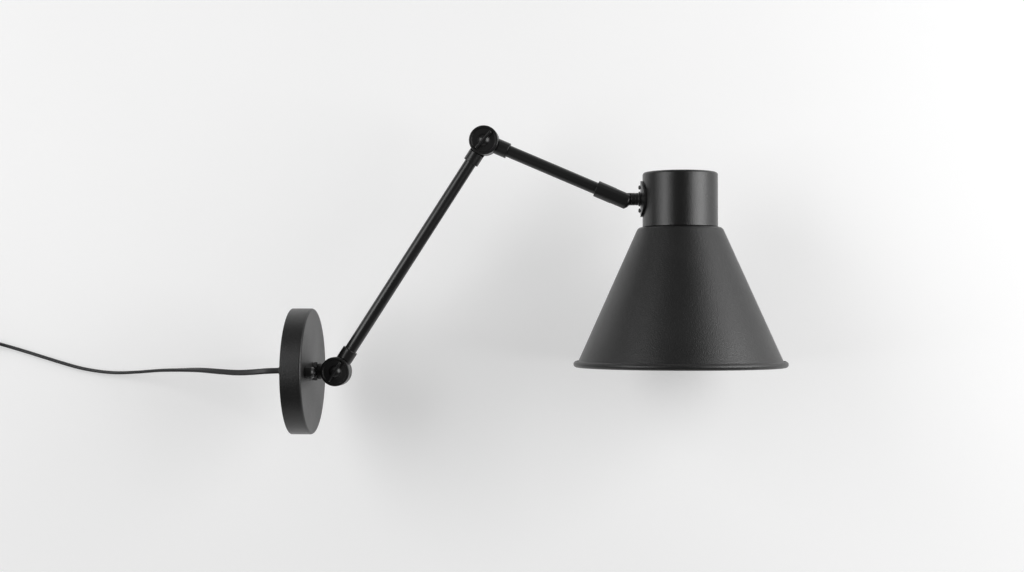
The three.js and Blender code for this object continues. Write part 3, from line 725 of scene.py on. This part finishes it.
def cover_screw(name, side, node):
    """A screw with a tall domed cap, and bare metal in its cross recess."""
    seat = PLATE_DEPTH + GAP
    top = seat + COVER_SCREW_HEIGHT
    profile = [(0, COVER_SHANK_END), (COVER_SHANK_RADIUS, COVER_SHANK_END), (COVER_SHANK_RADIUS, seat, 0),
               (COVER_SCREW_RADIUS, seat, 0.3), (COVER_SCREW_RADIUS, top - 2.6, 1.2),
               (0.8 * COVER_SCREW_RADIUS, top - 0.6, 1.4), (0, top)]
    mesh = cut(turned(rounded(profile, steps=4)), *cross_recess(top, depth=1.6, reach=2.5, width=1.1))
    screw = add_piece(name, moved(mesh, ALONG_X, shift(y=side * COVER_SCREW_OFFSET)), WALL,
                      "wall_mount", [node], bevel=0.12)
    deep = (top - 0.5) * MM
    bare_metal(screw, "zinc_steel", lambda p: p.x < deep and p.x > deep - 1.3 * MM
               and math.hypot(p.y - side * COVER_SCREW_OFFSET * MM, p.z) < 2.7 * MM)


def gland():
    """The cord's bush: a clamped head inside the bracket and a ribbed tapered tail behind it."""
    high, low = GLAND_HIGH.x / MM, GLAND_LOW.x / MM
    profile = [(0, high), (GLAND_HEAD, high), (GLAND_HEAD, GLAND_HEAD_FACE), (GLAND_THROAT, GLAND_HEAD_FACE),
               (GLAND_THROAT, -GAP), (GLAND_COLLAR, -GAP), (GLAND_COLLAR, GLAND_COLLAR_END)]
    pitch = (GLAND_COLLAR_END - low - 1) / GLAND_RIBS
    for rib in range(GLAND_RIBS):
        start = GLAND_COLLAR_END - rib * pitch
        radius = GLAND_TAIL - GLAND_TAPER * (rib + 0.5) / GLAND_RIBS
        groove = radius - 0.9
        profile += [(groove, start - 0.25 * pitch, 0.25), (groove, start - 0.5 * pitch, 0.25),
                    (radius - 0.2, start - 0.6 * pitch, 0.3), (radius - 0.4, start - pitch, 0.3)]
    profile += [(GLAND_TIP, low), (0, low)]
    mesh = moved(turned(rounded(profile)), ALONG_X, shift(y=GLAND_OFFSET))
    return add_piece("strain_relief", mesh, WALL, "wall_mount", ["cord_gland"])


wall_plate()
cover_screw("capped_screw_near", -1, "cover_screw_near")
cover_screw("capped_screw_far", 1, "cover_screw_far")
strain_relief = gland()

# ---------------- joints
# Distances along an arm are from the joint's pivot. Those across it are from the arm's middle plane.
DISC_RADIUS = 13.9
DISC_INNER = 0.7
DISC_OUTER = 6
COLLAR_RADIUS = 7.5
COLLAR_START = 14
COLLAR_END = 24.5
NECK_COLLAR_END = 17.7              # of the knuckle's shorter collar
SOCKET_START = 16.5
TUBE_RADIUS = 5.75
TUBE_WALL = 1
TUBE_START = SOCKET_START + GAP
TUBE_STOP = 10.3                    # before the tilt pin, inside the sleeve
BOLT_RADIUS = 2.5
BOLT_TIP = -9.4
BOLT_HEAD_START = 3
BOLT_HEAD_END = 5.7
BOLT_HEAD_FLATS = 8
BOLT_HEAD_RADIUS = 4.5              # rounds its corners off
BOLT_ROOM_RADIUS = 5
BOLT_ROOM_FLOOR = 2.7
WASHER_RADIUS = 11
WASHER_HALF = 0.4
KNOB_THICKNESS = 4
KNOB_SOCKET_END = 9.8
DISH_RADIUS = 11.1
DISH_DEPTH = 0.9
BOSS_RADIUS = 5.9
BOSS_HEIGHT = 3.3
BLADE_LENGTH = 21.5
BLADE_WIDTH = 2.8
BLADE_RISE = 3.8                    # above the knob's own edge
BLADE_EDGE = 1.1
BASE_BLADE_ANGLE = 58               # degrees above level
ELBOW_BLADE_ANGLE = 48
STEM_BORE = 3.2
STEM_END = 9                        # from the wall
THREAD_START = 22.0
THREAD_PITCH = 1.0
THREAD_DEPTH = 0.35
# Each nut's size across its flats, and the distances of its two faces from the wall.
NECK_NUT = (15.6, 20.3, 24.3)
LOCK_NUT = (14, 11, 16.2)


def slab(side, radius, edge=0.0):
    faces = sorted((side * DISC_INNER, side * DISC_OUTER))
    return moved(rod(radius, *faces, edge, 96), ALONG_Y)


def half_joint(side, collar_end):
    """A disc beside the arm's middle plane, and the collar that it carries."""
    wide = 40                       # more than the collar's radius
    neck = common(moved(rod(COLLAR_RADIUS, 0, COLLAR_START + 2), ALONG_X), slab(side, wide))
    collar = moved(rod(COLLAR_RADIUS, COLLAR_START, collar_end, 0.45), ALONG_X)
    return join(slab(side, DISC_RADIUS, 0.5), neck, collar)


def bolt_room(side):
    """A hole for the bolt's shank. The far half joint also has a pocket for its head."""
    past = DISC_OUTER + 2
    rooms = [moved(rod(BOLT_RADIUS + GAP, -past, past, sides=32), ALONG_Y)]
    if side > 0:
        rooms.append(moved(rod(BOLT_ROOM_RADIUS, BOLT_ROOM_FLOOR, past, sides=48), ALONG_Y))
    return rooms


def arm_end(name, side, matrix, body, node):
    """A half joint whose collar holds the arm's tube."""
    socket = moved(rod(TUBE_RADIUS + GAP, SOCKET_START, COLLAR_END + 1), ALONG_X)
    mesh = cut(half_joint(side, COLLAR_END), socket, *bolt_room(side))
    add_piece(name, mesh, matrix, body, [node], bevel=0.2)


def tube(name, matrix, end, body, node):
    mesh = moved(pipe(TUBE_RADIUS - TUBE_WALL, TUBE_RADIUS, TUBE_START, end, 0.15, 96), ALONG_X)
    add_piece(name, mesh, matrix, body, [node])


def bolt(name, matrix, body, node):
    shank = rod(BOLT_RADIUS, BOLT_TIP, BOLT_HEAD_START + 0.2, 0.3, 32)
    head = common(prism(hexagon(BOLT_HEAD_FLATS), BOLT_HEAD_START, BOLT_HEAD_END),
                  rod(BOLT_HEAD_RADIUS, BOLT_HEAD_START - 1, BOLT_HEAD_END, 0.6, 72))
    add_piece(name, moved(join(shank, head), ALONG_Y), matrix, body, [node], bevel=0.1)


def washer(name, matrix, body, node):
    mesh = moved(pipe(BOLT_RADIUS + GAP, WASHER_RADIUS, -WASHER_HALF, WASHER_HALF, 0.12, 96), ALONG_Y)
    add_piece(name, mesh, matrix, body, [node])


def blade(length, width, low, high, edge):
    """A blade that stands on its foot, with its top edge rounded over."""
    levels = [(stadium(length, width), low)]
    for step in range(5):
        angle = HALF_TURN / 2 * step / 4
        narrower = 2 * edge * (1 - math.cos(angle))
        levels.append((stadium(length - narrower, width - narrower), high - edge * (1 - math.sin(angle))))
    return stacked(levels)


def knob(name, pivot, blade_angle, body, node):
    """A dished disc with a domed boss and a raised blade to turn it by."""
    back, front = DISC_OUTER + GAP, DISC_OUTER + GAP + KNOB_THICKNESS
    dish = front - DISH_DEPTH
    ball = (BOSS_RADIUS**2 + BOSS_HEIGHT**2) / (2 * BOSS_HEIGHT)
    middle = dish + BOSS_HEIGHT - ball
    dome = arc((0, middle), ball, math.degrees(math.asin((dish - middle) / ball)), 90, 12)
    profile = [(0, back), (DISC_RADIUS, back, 0.4), (DISC_RADIUS, front, 0.8),
               (DISH_RADIUS + 0.6, front, 0.4), (DISH_RADIUS, dish, 0.5), (BOSS_RADIUS + 0.5, dish, 0.2)]
    disc = turned(rounded(profile) + dome[:-1] + [(0, dome[-1][1])], 96)
    grip = blade(BLADE_LENGTH, BLADE_WIDTH, front - 2, front + BLADE_RISE, BLADE_EDGE)
    socket = rod(BOLT_RADIUS + GAP, back - 1, KNOB_SOCKET_END, sides=32)
    angle = math.radians(blade_angle)
    matrix = placed(pivot, (math.cos(angle), 0, math.sin(angle)), (0, 0, 1))
    add_piece(name, cut(join(disc, grip), socket), matrix, body, [node], bevel=0.15)


def base_knuckle():
    """The fixed half of the base joint, its neck and the hollow stem through the plate."""
    start, end = NECK_COLLAR_END - 1, BASE.x / MM - STEM_END
    valley = STEM_RADIUS - THREAD_DEPTH
    profile = [(STEM_BORE, start), (STEM_RADIUS, start, 0), (STEM_RADIUS, THREAD_START - 0.4, 0)]
    ridge = THREAD_START
    while ridge + THREAD_PITCH < end:
        profile += [(valley, ridge, 0), (STEM_RADIUS, ridge + THREAD_PITCH / 2, 0)]
        ridge += THREAD_PITCH
    profile += [(valley, end, 0.2), (STEM_BORE, end, 0.2)]
    stem = moved(turned(rounded(profile)), ALONG_X)
    bore = moved(rod(STEM_BORE, SOCKET_START, 40), ALONG_X)
    mesh = join(cut(half_joint(1, NECK_COLLAR_END), bore, *bolt_room(1)), stem)
    add_piece("knuckle", mesh, BASE_IN, "base_swivel", ["base_knuckle"], bevel=0.2)


def hexagon_nut(name, across, low, high, node):
    nut = common(prism(hexagon(across), low, high), rod(across / math.sqrt(3) - 0.25, low, high, 0.9, 96))
    mesh = cut(nut, rod(STEM_RADIUS + GAP, low - 1, high + 1))
    add_piece(name, moved(mesh, ALONG_X), WALL, "base_swivel", [node], bevel=0.15)


base_knuckle()
hexagon_nut("neck_hexagon", *NECK_NUT, "neck_nut")
hexagon_nut("lock_hexagon", *LOCK_NUT, "stem_lock_nut")
arm_end("lower_foot", -1, LOWER_OUT, "lower_arm", "lower_arm_foot")
arm_end("lower_head", 1, LOWER_IN, "lower_arm", "lower_arm_head")
arm_end("upper_foot", -1, UPPER_OUT, "upper_arm", "upper_arm_foot")
tube("lower_tube", LOWER_OUT, LOWER_LENGTH - TUBE_START, "lower_arm", "lower_arm_tube")
tube("upper_tube", UPPER_OUT, UPPER_LENGTH - TUBE_STOP, "upper_arm", "upper_arm_tube")
bolt("base_clamp_bolt", BASE_IN, "base_swivel", "base_bolt")
bolt("elbow_clamp_bolt", LOWER_IN, "lower_arm", "elbow_bolt")
washer("base_friction_disc", LOWER_OUT, "lower_arm", "base_washer")
washer("elbow_friction_disc", UPPER_OUT, "upper_arm", "elbow_washer")
knob("base_wing_knob", BASE, BASE_BLADE_ANGLE, "base_clamp", "base_knob")
knob("elbow_wing_knob", ELBOW, ELBOW_BLADE_ANGLE, "elbow_clamp", "elbow_knob")

# ---------------- head swivel
# Distances along the sleeve and the neck are from the tilt pin.
SLEEVE_RADIUS = 7.8
SLEEVE_LENGTH = 25.6
SLEEVE_NOSE, SLEEVE_NOSE_ROUND = 9.5, 5
SLEEVE_SOCKET_END = -10
CAP_RADIUS = 9                      # of the rounding about the pin
FORK_BACK, FORK_FRONT = -8, 12
TONGUE_HALF = 2.4
PIN_RADIUS = 2
PIN_NEAR_END, PIN_FAR_END = -6.6, 7
EYE_RADIUS = 6.8
NECK_RADIUS = 5.9
NECK_START = 9.4
GROOVE_START, GROOVE_END = 12.5, 13.3
GROOVE_DEPTH = 0.3
NECK_FOOT_RADIUS, NECK_FOOT_START = 7, 16.4
NECK_REACH = 24                     # past the saddle that cuts it
LEAD_HOLE_RADIUS = 3.2
SCREW_HOLE_RADIUS = 1.7
FLANGE_SCREW_OFFSET = 10.85
FLANGE_SHANK_RADIUS, FLANGE_SHANK_LENGTH = 1.3, 6
FLANGE_HEAD_RADIUS, FLANGE_HEAD_HEIGHT = 2.2, 1.6


def sleeve():
    """The forked sleeve on the upper arm's end, rounded about the tilt pin."""
    profile = [(0, -SLEEVE_LENGTH), (SLEEVE_RADIUS, -SLEEVE_LENGTH, 0.4),
               (SLEEVE_RADIUS, SLEEVE_NOSE, SLEEVE_NOSE_ROUND), (0, SLEEVE_NOSE)]
    body = moved(turned(rounded(profile, steps=4), 96), ALONG_X)
    wide = CAP_RADIUS
    cap = moved(rod(CAP_RADIUS, -wide, wide, sides=128), ALONG_Y)
    rest = block((-SLEEVE_LENGTH - 1, -wide, -wide), (0, wide, wide))
    fork = block((FORK_BACK, -TONGUE_HALF - GAP, -10), (FORK_FRONT, TONGUE_HALF + GAP, 10))
    socket = moved(rod(TUBE_RADIUS + GAP, -SLEEVE_LENGTH - 1, SLEEVE_SOCKET_END), ALONG_X)
    pin_hole = moved(rod(PIN_RADIUS + GAP, PIN_NEAR_END - GAP, wide, sides=48), ALONG_Y)
    mesh = cut(common(body, join(cap, rest)), fork, socket, pin_hole)
    add_piece("sleeve", mesh, UPPER_IN, "head_swivel", ["swivel_sleeve"], bevel=0.3)
    pin = moved(rod(PIN_RADIUS, PIN_NEAR_END, PIN_FAR_END, 0.35, 48), ALONG_Y)
    add_piece("tilt_pin", pin, UPPER_IN, "head_swivel", ["swivel_pin"])


def neck():
    """The tongue between the fork's cheeks, and the neck that ends on the cup's flange."""
    eye = moved(rod(EYE_RADIUS, -TONGUE_HALF, TONGUE_HALF, 0.3, 96), ALONG_Y)
    bar = common(block((0, -TONGUE_HALF, -NECK_RADIUS), (11, TONGUE_HALF, NECK_RADIUS)),
                 moved(rod(NECK_RADIUS, -1, 12), ALONG_X))
    groove = NECK_RADIUS - GROOVE_DEPTH
    profile = [(0, NECK_START), (NECK_RADIUS, NECK_START, 0.4), (NECK_RADIUS, GROOVE_START, 0.15),
               (groove, GROOVE_START + 0.2, 0.1), (groove, GROOVE_END - 0.2, 0.1),
               (NECK_RADIUS, GROOVE_END, 0.15), (NECK_RADIUS, NECK_FOOT_START - 0.5, 0.2),
               (NECK_FOOT_RADIUS, NECK_FOOT_START, 0.3), (NECK_FOOT_RADIUS, NECK_REACH), (0, NECK_REACH)]
    round_part = moved(turned(rounded(profile), 96), ALONG_X)
    saddle = moved(rod(FLANGE_OUTER + GAP, -20, 20, sides=160), shift(x=CUP_OUT))
    pin_hole = moved(rod(PIN_RADIUS + GAP, -4, 4, sides=48), ALONG_Y)
    mesh = cut(join(eye, bar, round_part), saddle, pin_hole)
    add_piece("neck", mesh, HEAD, "head", ["head_neck"], bevel=0.2)


def flange():
    shell = moved(pipe(CUP_RADIUS + GAP, FLANGE_OUTER, -20, 20, sides=160), shift(x=CUP_OUT))
    outline = moved(rod(FLANGE_RADIUS, 10, 30, sides=96), ALONG_X)
    holes = [moved(rod(SCREW_HOLE_RADIUS, 10, 30, sides=24), ALONG_X, shift(z=side * FLANGE_SCREW_OFFSET))
             for side in (-1, 1)]
    mesh = cut(common(shell, outline), moved(rod(LEAD_HOLE_RADIUS, 10, 30), ALONG_X), *holes)
    add_piece("saddle_flange", mesh, HEAD, "head", ["cup_flange"], bevel=0.3)


def flange_screw(name, side, node):
    """A round-headed screw, drawn upright on its seat and then turned to face the arm."""
    top, wide = FLANGE_HEAD_HEIGHT, FLANGE_HEAD_RADIUS
    profile = [(0, -FLANGE_SHANK_LENGTH), (FLANGE_SHANK_RADIUS, -FLANGE_SHANK_LENGTH),
               (FLANGE_SHANK_RADIUS, 0, 0), (wide, 0), (wide, 0.3, 0.4), (wide - 0.4, top - 0.5, 0.6),
               (0.9, 1.58, 0), (0, top)]
    screw = cut(turned(rounded(profile, 0.15), 48), *cross_recess(top, depth=0.8, reach=1.2, width=0.6))
    seat = CUP_OUT - FLANGE_OUTER - GAP
    moved(screw, Matrix.Rotation(-HALF_TURN / 2, 4, "Y"), shift(x=seat, z=side * FLANGE_SCREW_OFFSET))
    add_piece(name, screw, HEAD, "head", [node], bevel=0.06)


sleeve()
neck()
flange()
flange_screw("dome_screw_upper", 1, "flange_screw_upper")
flange_screw("dome_screw_lower", -1, "flange_screw_lower")

# ---------------- cup, holder, shade and bulb
CUP_WALL = 1
HOLDER_RADIUS = 19.8
HOLDER_BORE = 13.9
HOLDER_FLANGE_RADIUS = 23
RING_RADIUS = 25.6
RING_HEIGHT = 5
RING_RIBS = 36
RIM_LOW = (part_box("shade")[0].z - TILT.z) / MM
RIM_RADIUS = 100.2
LIP_RADIUS = 3
LIP_OPEN = 84                       # degrees above level where the rolled edge stops
SHADE_SHEET = 0.8
CONE_TOP_RADIUS = 39.9
CONE_SLOPE = 0.4425
SHOULDER_RADIUS = 36.1              # where its rounding is centred
SHOULDER_ROUND = 5
# Heights of the bulb are from the tilt pin.
BULB_TOP = -26.3
BULB_SEAM = -60
BULB_BASE_RADIUS = 13.3
BULB_BODY_RADIUS = 27.5
DOME_CENTRE, DOME_RADIUS, DOME_WALL = -78, 30, 1


def cup():
    inside = CUP_RADIUS - CUP_WALL
    profile = [(0, CUP_TOP - CUP_WALL), (inside, CUP_TOP - CUP_WALL, 2), (inside, SEAM, 0.2),
               (CUP_RADIUS, SEAM, 0.35), (CUP_RADIUS, CUP_TOP, 2.6), (0, CUP_TOP)]
    shell = turned(rounded(profile), 160)
    sizes = ((LEAD_HOLE_RADIUS, 0), (SCREW_HOLE_RADIUS, FLANGE_SCREW_OFFSET),
             (SCREW_HOLE_RADIUS, -FLANGE_SCREW_OFFSET))
    holes = [moved(rod(radius, 10, 30, sides=24), ALONG_X, shift(z=z), FROM_CUP) for radius, z in sizes]
    add_piece("cup", cut(shell, *holes), CUP, "head", ["holder_cup"])


def cone_radius(height):
    return CONE_TOP_RADIUS + CONE_SLOPE * (SEAM - height)


def shade():
    """A spun cone with a rounded shoulder. Its edge is rolled outward into an open lip."""
    top = SEAM - GAP
    lip = (RIM_RADIUS - LIP_RADIUS, RIM_LOW + LIP_RADIUS)
    cone_end = lip[1] + 2.6
    inward = SHADE_SHEET * math.hypot(1, CONE_SLOPE)
    shoulder = (SHOULDER_RADIUS, top - SHOULDER_ROUND)
    profile = [
        (HOLDER_RADIUS + 0.5, top), *arc(shoulder, SHOULDER_ROUND, 90, 24, 8),
        (cone_radius(cone_end), cone_end), *arc(lip, LIP_RADIUS - SHADE_SHEET, 170, LIP_OPEN + 360, 24),
        *arc(lip, LIP_RADIUS, LIP_OPEN + 360, 170, 26), (cone_radius(cone_end) - inward, cone_end),
        (cone_radius(SEAM - 6) - inward, SEAM - 6), *arc(shoulder, SHOULDER_ROUND - SHADE_SHEET, 24, 90, 8),
        (HOLDER_RADIUS + 0.5, top - SHADE_SHEET),
    ]
    add_piece("cone_shade", turned(profile, 192), CUP, "head", ["shade"], crease=40)


def lamp_holder():
    flange_top, mouth = SEAM + 2.5, SEAM - 12
    profile = [(STEM_RADIUS + GAP, 13), (14, 13, 1), (18, 9, 1.5), (HOLDER_RADIUS, 4, 1),
               (HOLDER_RADIUS, flange_top), (HOLDER_FLANGE_RADIUS, flange_top), (HOLDER_FLANGE_RADIUS, SEAM),
               (HOLDER_RADIUS, SEAM), (HOLDER_RADIUS, mouth, 0.8), (HOLDER_BORE, mouth, 0.8),
               (HOLDER_BORE, 2), (STEM_RADIUS + GAP, 2)]
    add_piece("bulb_holder", turned(rounded(profile), 96), CUP, "head", ["lamp_holder"])


def shade_ring():
    """The ring nut under the shade, ribbed for grip."""
    top = SEAM - 2 * GAP - SHADE_SHEET
    count = 6 * RING_RIBS
    outline = []
    for i in range(count):
        angle = 2 * HALF_TURN * i / count
        radius = RING_RADIUS + 0.4 * math.tanh(2 * math.cos(angle * RING_RIBS))
        outline.append((radius * math.cos(angle), radius * math.sin(angle)))
    bore = rod(HOLDER_RADIUS + GAP, top - RING_HEIGHT - 2, top + 2, sides=96)
    mesh = cut(prism(outline, top - RING_HEIGHT, top), bore)
    add_piece("ribbed_ring", mesh, CUP, "head", ["shade_ring"], bevel=0.2)


def bulb():
    """A plain LED bulb: a flared white body and a frosted dome."""
    profile = [(0, BULB_TOP), (BULB_BASE_RADIUS, BULB_TOP, 0.5), (BULB_BASE_RADIUS, -40, 4), (17, -46, 6),
               (23, -53, 8), (BULB_BODY_RADIUS, BULB_SEAM, 0.4), (0, BULB_SEAM)]
    add_piece("led_body", turned(rounded(profile, steps=4), 120), CUP, "head", ["bulb_body"])
    edge = BULB_SEAM - GAP
    centre, bottom = (0, DOME_CENTRE), DOME_CENTRE - DOME_RADIUS
    outside = arc(centre, DOME_RADIUS, 30, -90, 28)[:-1] + [(0, bottom)]
    inside = [(0, bottom + DOME_WALL)] + arc(centre, DOME_RADIUS - DOME_WALL, -90, 30, 28)[1:]
    profile = [(BULB_BODY_RADIUS - 0.9, edge), *outside, *inside, (BULB_BODY_RADIUS - 1.9, edge)]
    add_piece("frosted_dome", turned(profile, 120), CUP, "head", ["bulb_diffuser"])


cup()
shade()
lamp_holder()
shade_ring()
bulb()


# ---------------- switch, tie and plug
SWITCH_OPENING = (8.7, 6.4)         # half its length and half its width
ROCKER_LENGTH, ROCKER_WIDTH = 16, 12
ROCKER_TILT = 7                     # degrees, as switched on
TIE_WALL = 1.2
TIE_CORNER = 3.4
PLUG_CORNER = 4.2
PLUG_PIN_RADIUS = 2
PIN_SLEEVE_RADIUS = 1.9
PIN_SLEEVE_LENGTH = 10


def section(half_y, half_z, corner, seam_depth=0.0):
    """A rounded oblong of (y, z) points, with a fine groove at half depth on both long sides."""
    y, z = half_y - corner, half_z - corner
    bottom = half_z - seam_depth
    groove = [(0.3, half_z), (0.15, bottom), (-0.15, bottom), (-0.3, half_z)] if seam_depth else []
    points = []
    for side in (1, -1):
        start = 90 - 90 * side
        points += arc((side * y, side * z), corner, start, start + 90, 6)
        points += [(side * across, side * height) for across, height in groove]
        points += arc((-side * y, side * z), corner, start + 90, start + 180, 6)
    return points


def lofted(stations):
    """A closed body through (x, section) stations."""
    return moved(stacked([(outline, x) for x, outline in stations]), OUTLINES_ALONG_X)


def node_frame(node):
    """Axes through the middle of a CAD node's box."""
    low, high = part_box(node)
    return placed((low + high) / 2)


def switch():
    """A moulded inline switch that narrows to the cord at both ends."""
    half_x, half_y, half_z = size("switch_body") / 2
    stations = []
    for share in (1, 0.985, 0.95, 0.88, 0.78, 0.66, 0.52, 0.3, 0):
        fall = (1 - share) ** 0.5 if share > 0.5 else 0.71
        width = 0.50 + 0.50 * smooth((1 - share) / 0.45)
        depth = 0.62 + 0.38 * smooth((1 - share) / 0.35)
        corner = 3.2 * (0.6 + 0.4 * fall)
        stations.append((share * half_x, section(half_y * depth, half_z * width, corner, 0.5)))
    stations = [(-x, outline) for x, outline in stations[:-1]] + stations[::-1]
    open_x, open_z = SWITCH_OPENING
    opening = block((-open_x, -half_y - 1, -open_z), (open_x, -1, open_z))
    mesh = cut(lofted(stations), opening)
    return add_piece("cord_switch", mesh, node_frame("switch_body"), "wall_mount", ["switch_body"], bevel=0.3)


def rocker():
    """Two slopes that meet over the pivot, tilted as switched on."""
    half, foot, shoulder = ROCKER_LENGTH / 2, -2.6, 1.2
    outline = rounded([(-half, foot), (half, foot), (half, shoulder, 0.6), (0, 3, 3.0),
                       (-half, shoulder, 0.6)], 0.3, 4)
    tilt = math.radians(ROCKER_TILT)
    matrix = placed(PIVOT["rocker_tilt"], (math.cos(tilt), math.sin(tilt), 0), (0, 0, 1))
    mesh = prism(outline, -ROCKER_WIDTH / 2, ROCKER_WIDTH / 2)
    return add_piece("rocker_cap", mesh, matrix, "rocker", ["switch_rocker"], bevel=0.25)


def coil_tie():
    """A strap round the bundle of turns."""
    half_x, half_y, half_z = size("coil_tie") / 2
    outer = section(half_x, half_y, TIE_CORNER)
    inner = section(half_x - TIE_WALL, half_y - TIE_WALL, TIE_CORNER - TIE_WALL)
    mesh = cut(prism(outer, -half_z, half_z), prism(inner, -half_z - 1, half_z + 1))
    return add_piece("strap_tie", mesh, node_frame("coil_tie"), "wall_mount", ["coil_tie"], bevel=0.25)


def plug():
    """A flat two-pin plug that narrows towards the cord, with a grip waist."""
    half_x, half_y, half_z = size("plug_body") / 2
    # Place along its length, depth and width, each as a share of the plug's own half size.
    shape = [(-1, 0.62, 0.30), (-0.97, 0.70, 0.34), (-0.8, 0.82, 0.46), (-0.6, 0.92, 0.62),
             (-0.4, 0.97, 0.78), (-0.15, 0.94, 0.83), (0.15, 0.92, 0.86), (0.45, 0.96, 0.93),
             (0.75, 1, 0.985), (0.95, 1, 1), (1, 0.93, 0.96)]
    stations = [(x * half_x, section(half_y * deep, half_z * wide, PLUG_CORNER * deep, 0.4))
                for x, deep, wide in shape]
    return add_piece("flat_plug", lofted(stations), node_frame("plug_body"), "wall_mount",
                     ["plug_body"], bevel=0.2)


def plug_pin(name, node):
    """A round pin with a rounded tip, sleeved for the half next to the plug."""
    half = size(node).x / 2
    sleeve = PIN_SLEEVE_LENGTH - half
    profile = [(0, -half), (PIN_SLEEVE_RADIUS, -half), (PIN_SLEEVE_RADIUS, sleeve, 0.1),
               (PLUG_PIN_RADIUS, sleeve + 0.2, 0.1), (PLUG_PIN_RADIUS, half, 1.6), (0, half)]
    pin = add_piece(name, moved(turned(rounded(profile, 0.1, 4), 48), ALONG_X), node_frame(node),
                    "wall_mount", [node])
    sleeve_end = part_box(node)[0].x + (PIN_SLEEVE_LENGTH + 0.1) * MM
    bare_metal(pin, "black_plastic", lambda p: p.x < sleeve_end)
    return pin


cord_pieces = [
    strain_relief, switch(), rocker(), coil_tie(), plug(),
    plug_pin("sleeved_pin_upper", "plug_pin_upper"), plug_pin("sleeved_pin_lower", "plug_pin_lower"),
]


# ---------------- leads and CAD nodes that stay
MAINS_LEAD_RADIUS = 1.8
LAMP_LEAD_RADIUS = 1.5
LEAD_SIDE = Vector((0.31, 0.2, 0.93))   # a way that no lead runs along


def lead(name, points, radius, body, node):
    """A round lead inside the lamp."""
    route = through([Vector(point) * MM for point in points], 1.0 * MM)
    section_points = arc((0, 0), radius * MM, 0, 345, 23)
    mesh = swept(route, section_points, lambda point: LEAD_SIDE)
    add_piece(name, mesh, Matrix.Identity(4), body, [node], crease=60)


lead("mains_end", [(4.8, 15, 0), (6.5, 15, 0), (9, 16.5, 5), (8.5, 16, 12), (8, 13, 16), (8, 10.6, 16)],
     MAINS_LEAD_RADIUS, "wall_mount", "mains_tail")
lead("lamp_lead_end", [(8, -10.6, 16), (8, -13, 16), (6.5, -15.5, 9), (5.4, -10, 2), (5, -2, 0)],
     LAMP_LEAD_RADIUS, "wall_mount", "base_lead")


def dress_cad_nodes():
    """Gives each CAD node the finish that the record names for it, and breaks its edges."""
    for name, node in frame["nodes"].items():
        node.data.materials.clear()
        node.data.materials.append(FINISH[SLOT_OF[name]])
        if not node.hide_render:
            soften(node, 0.25)


dress_cad_nodes()
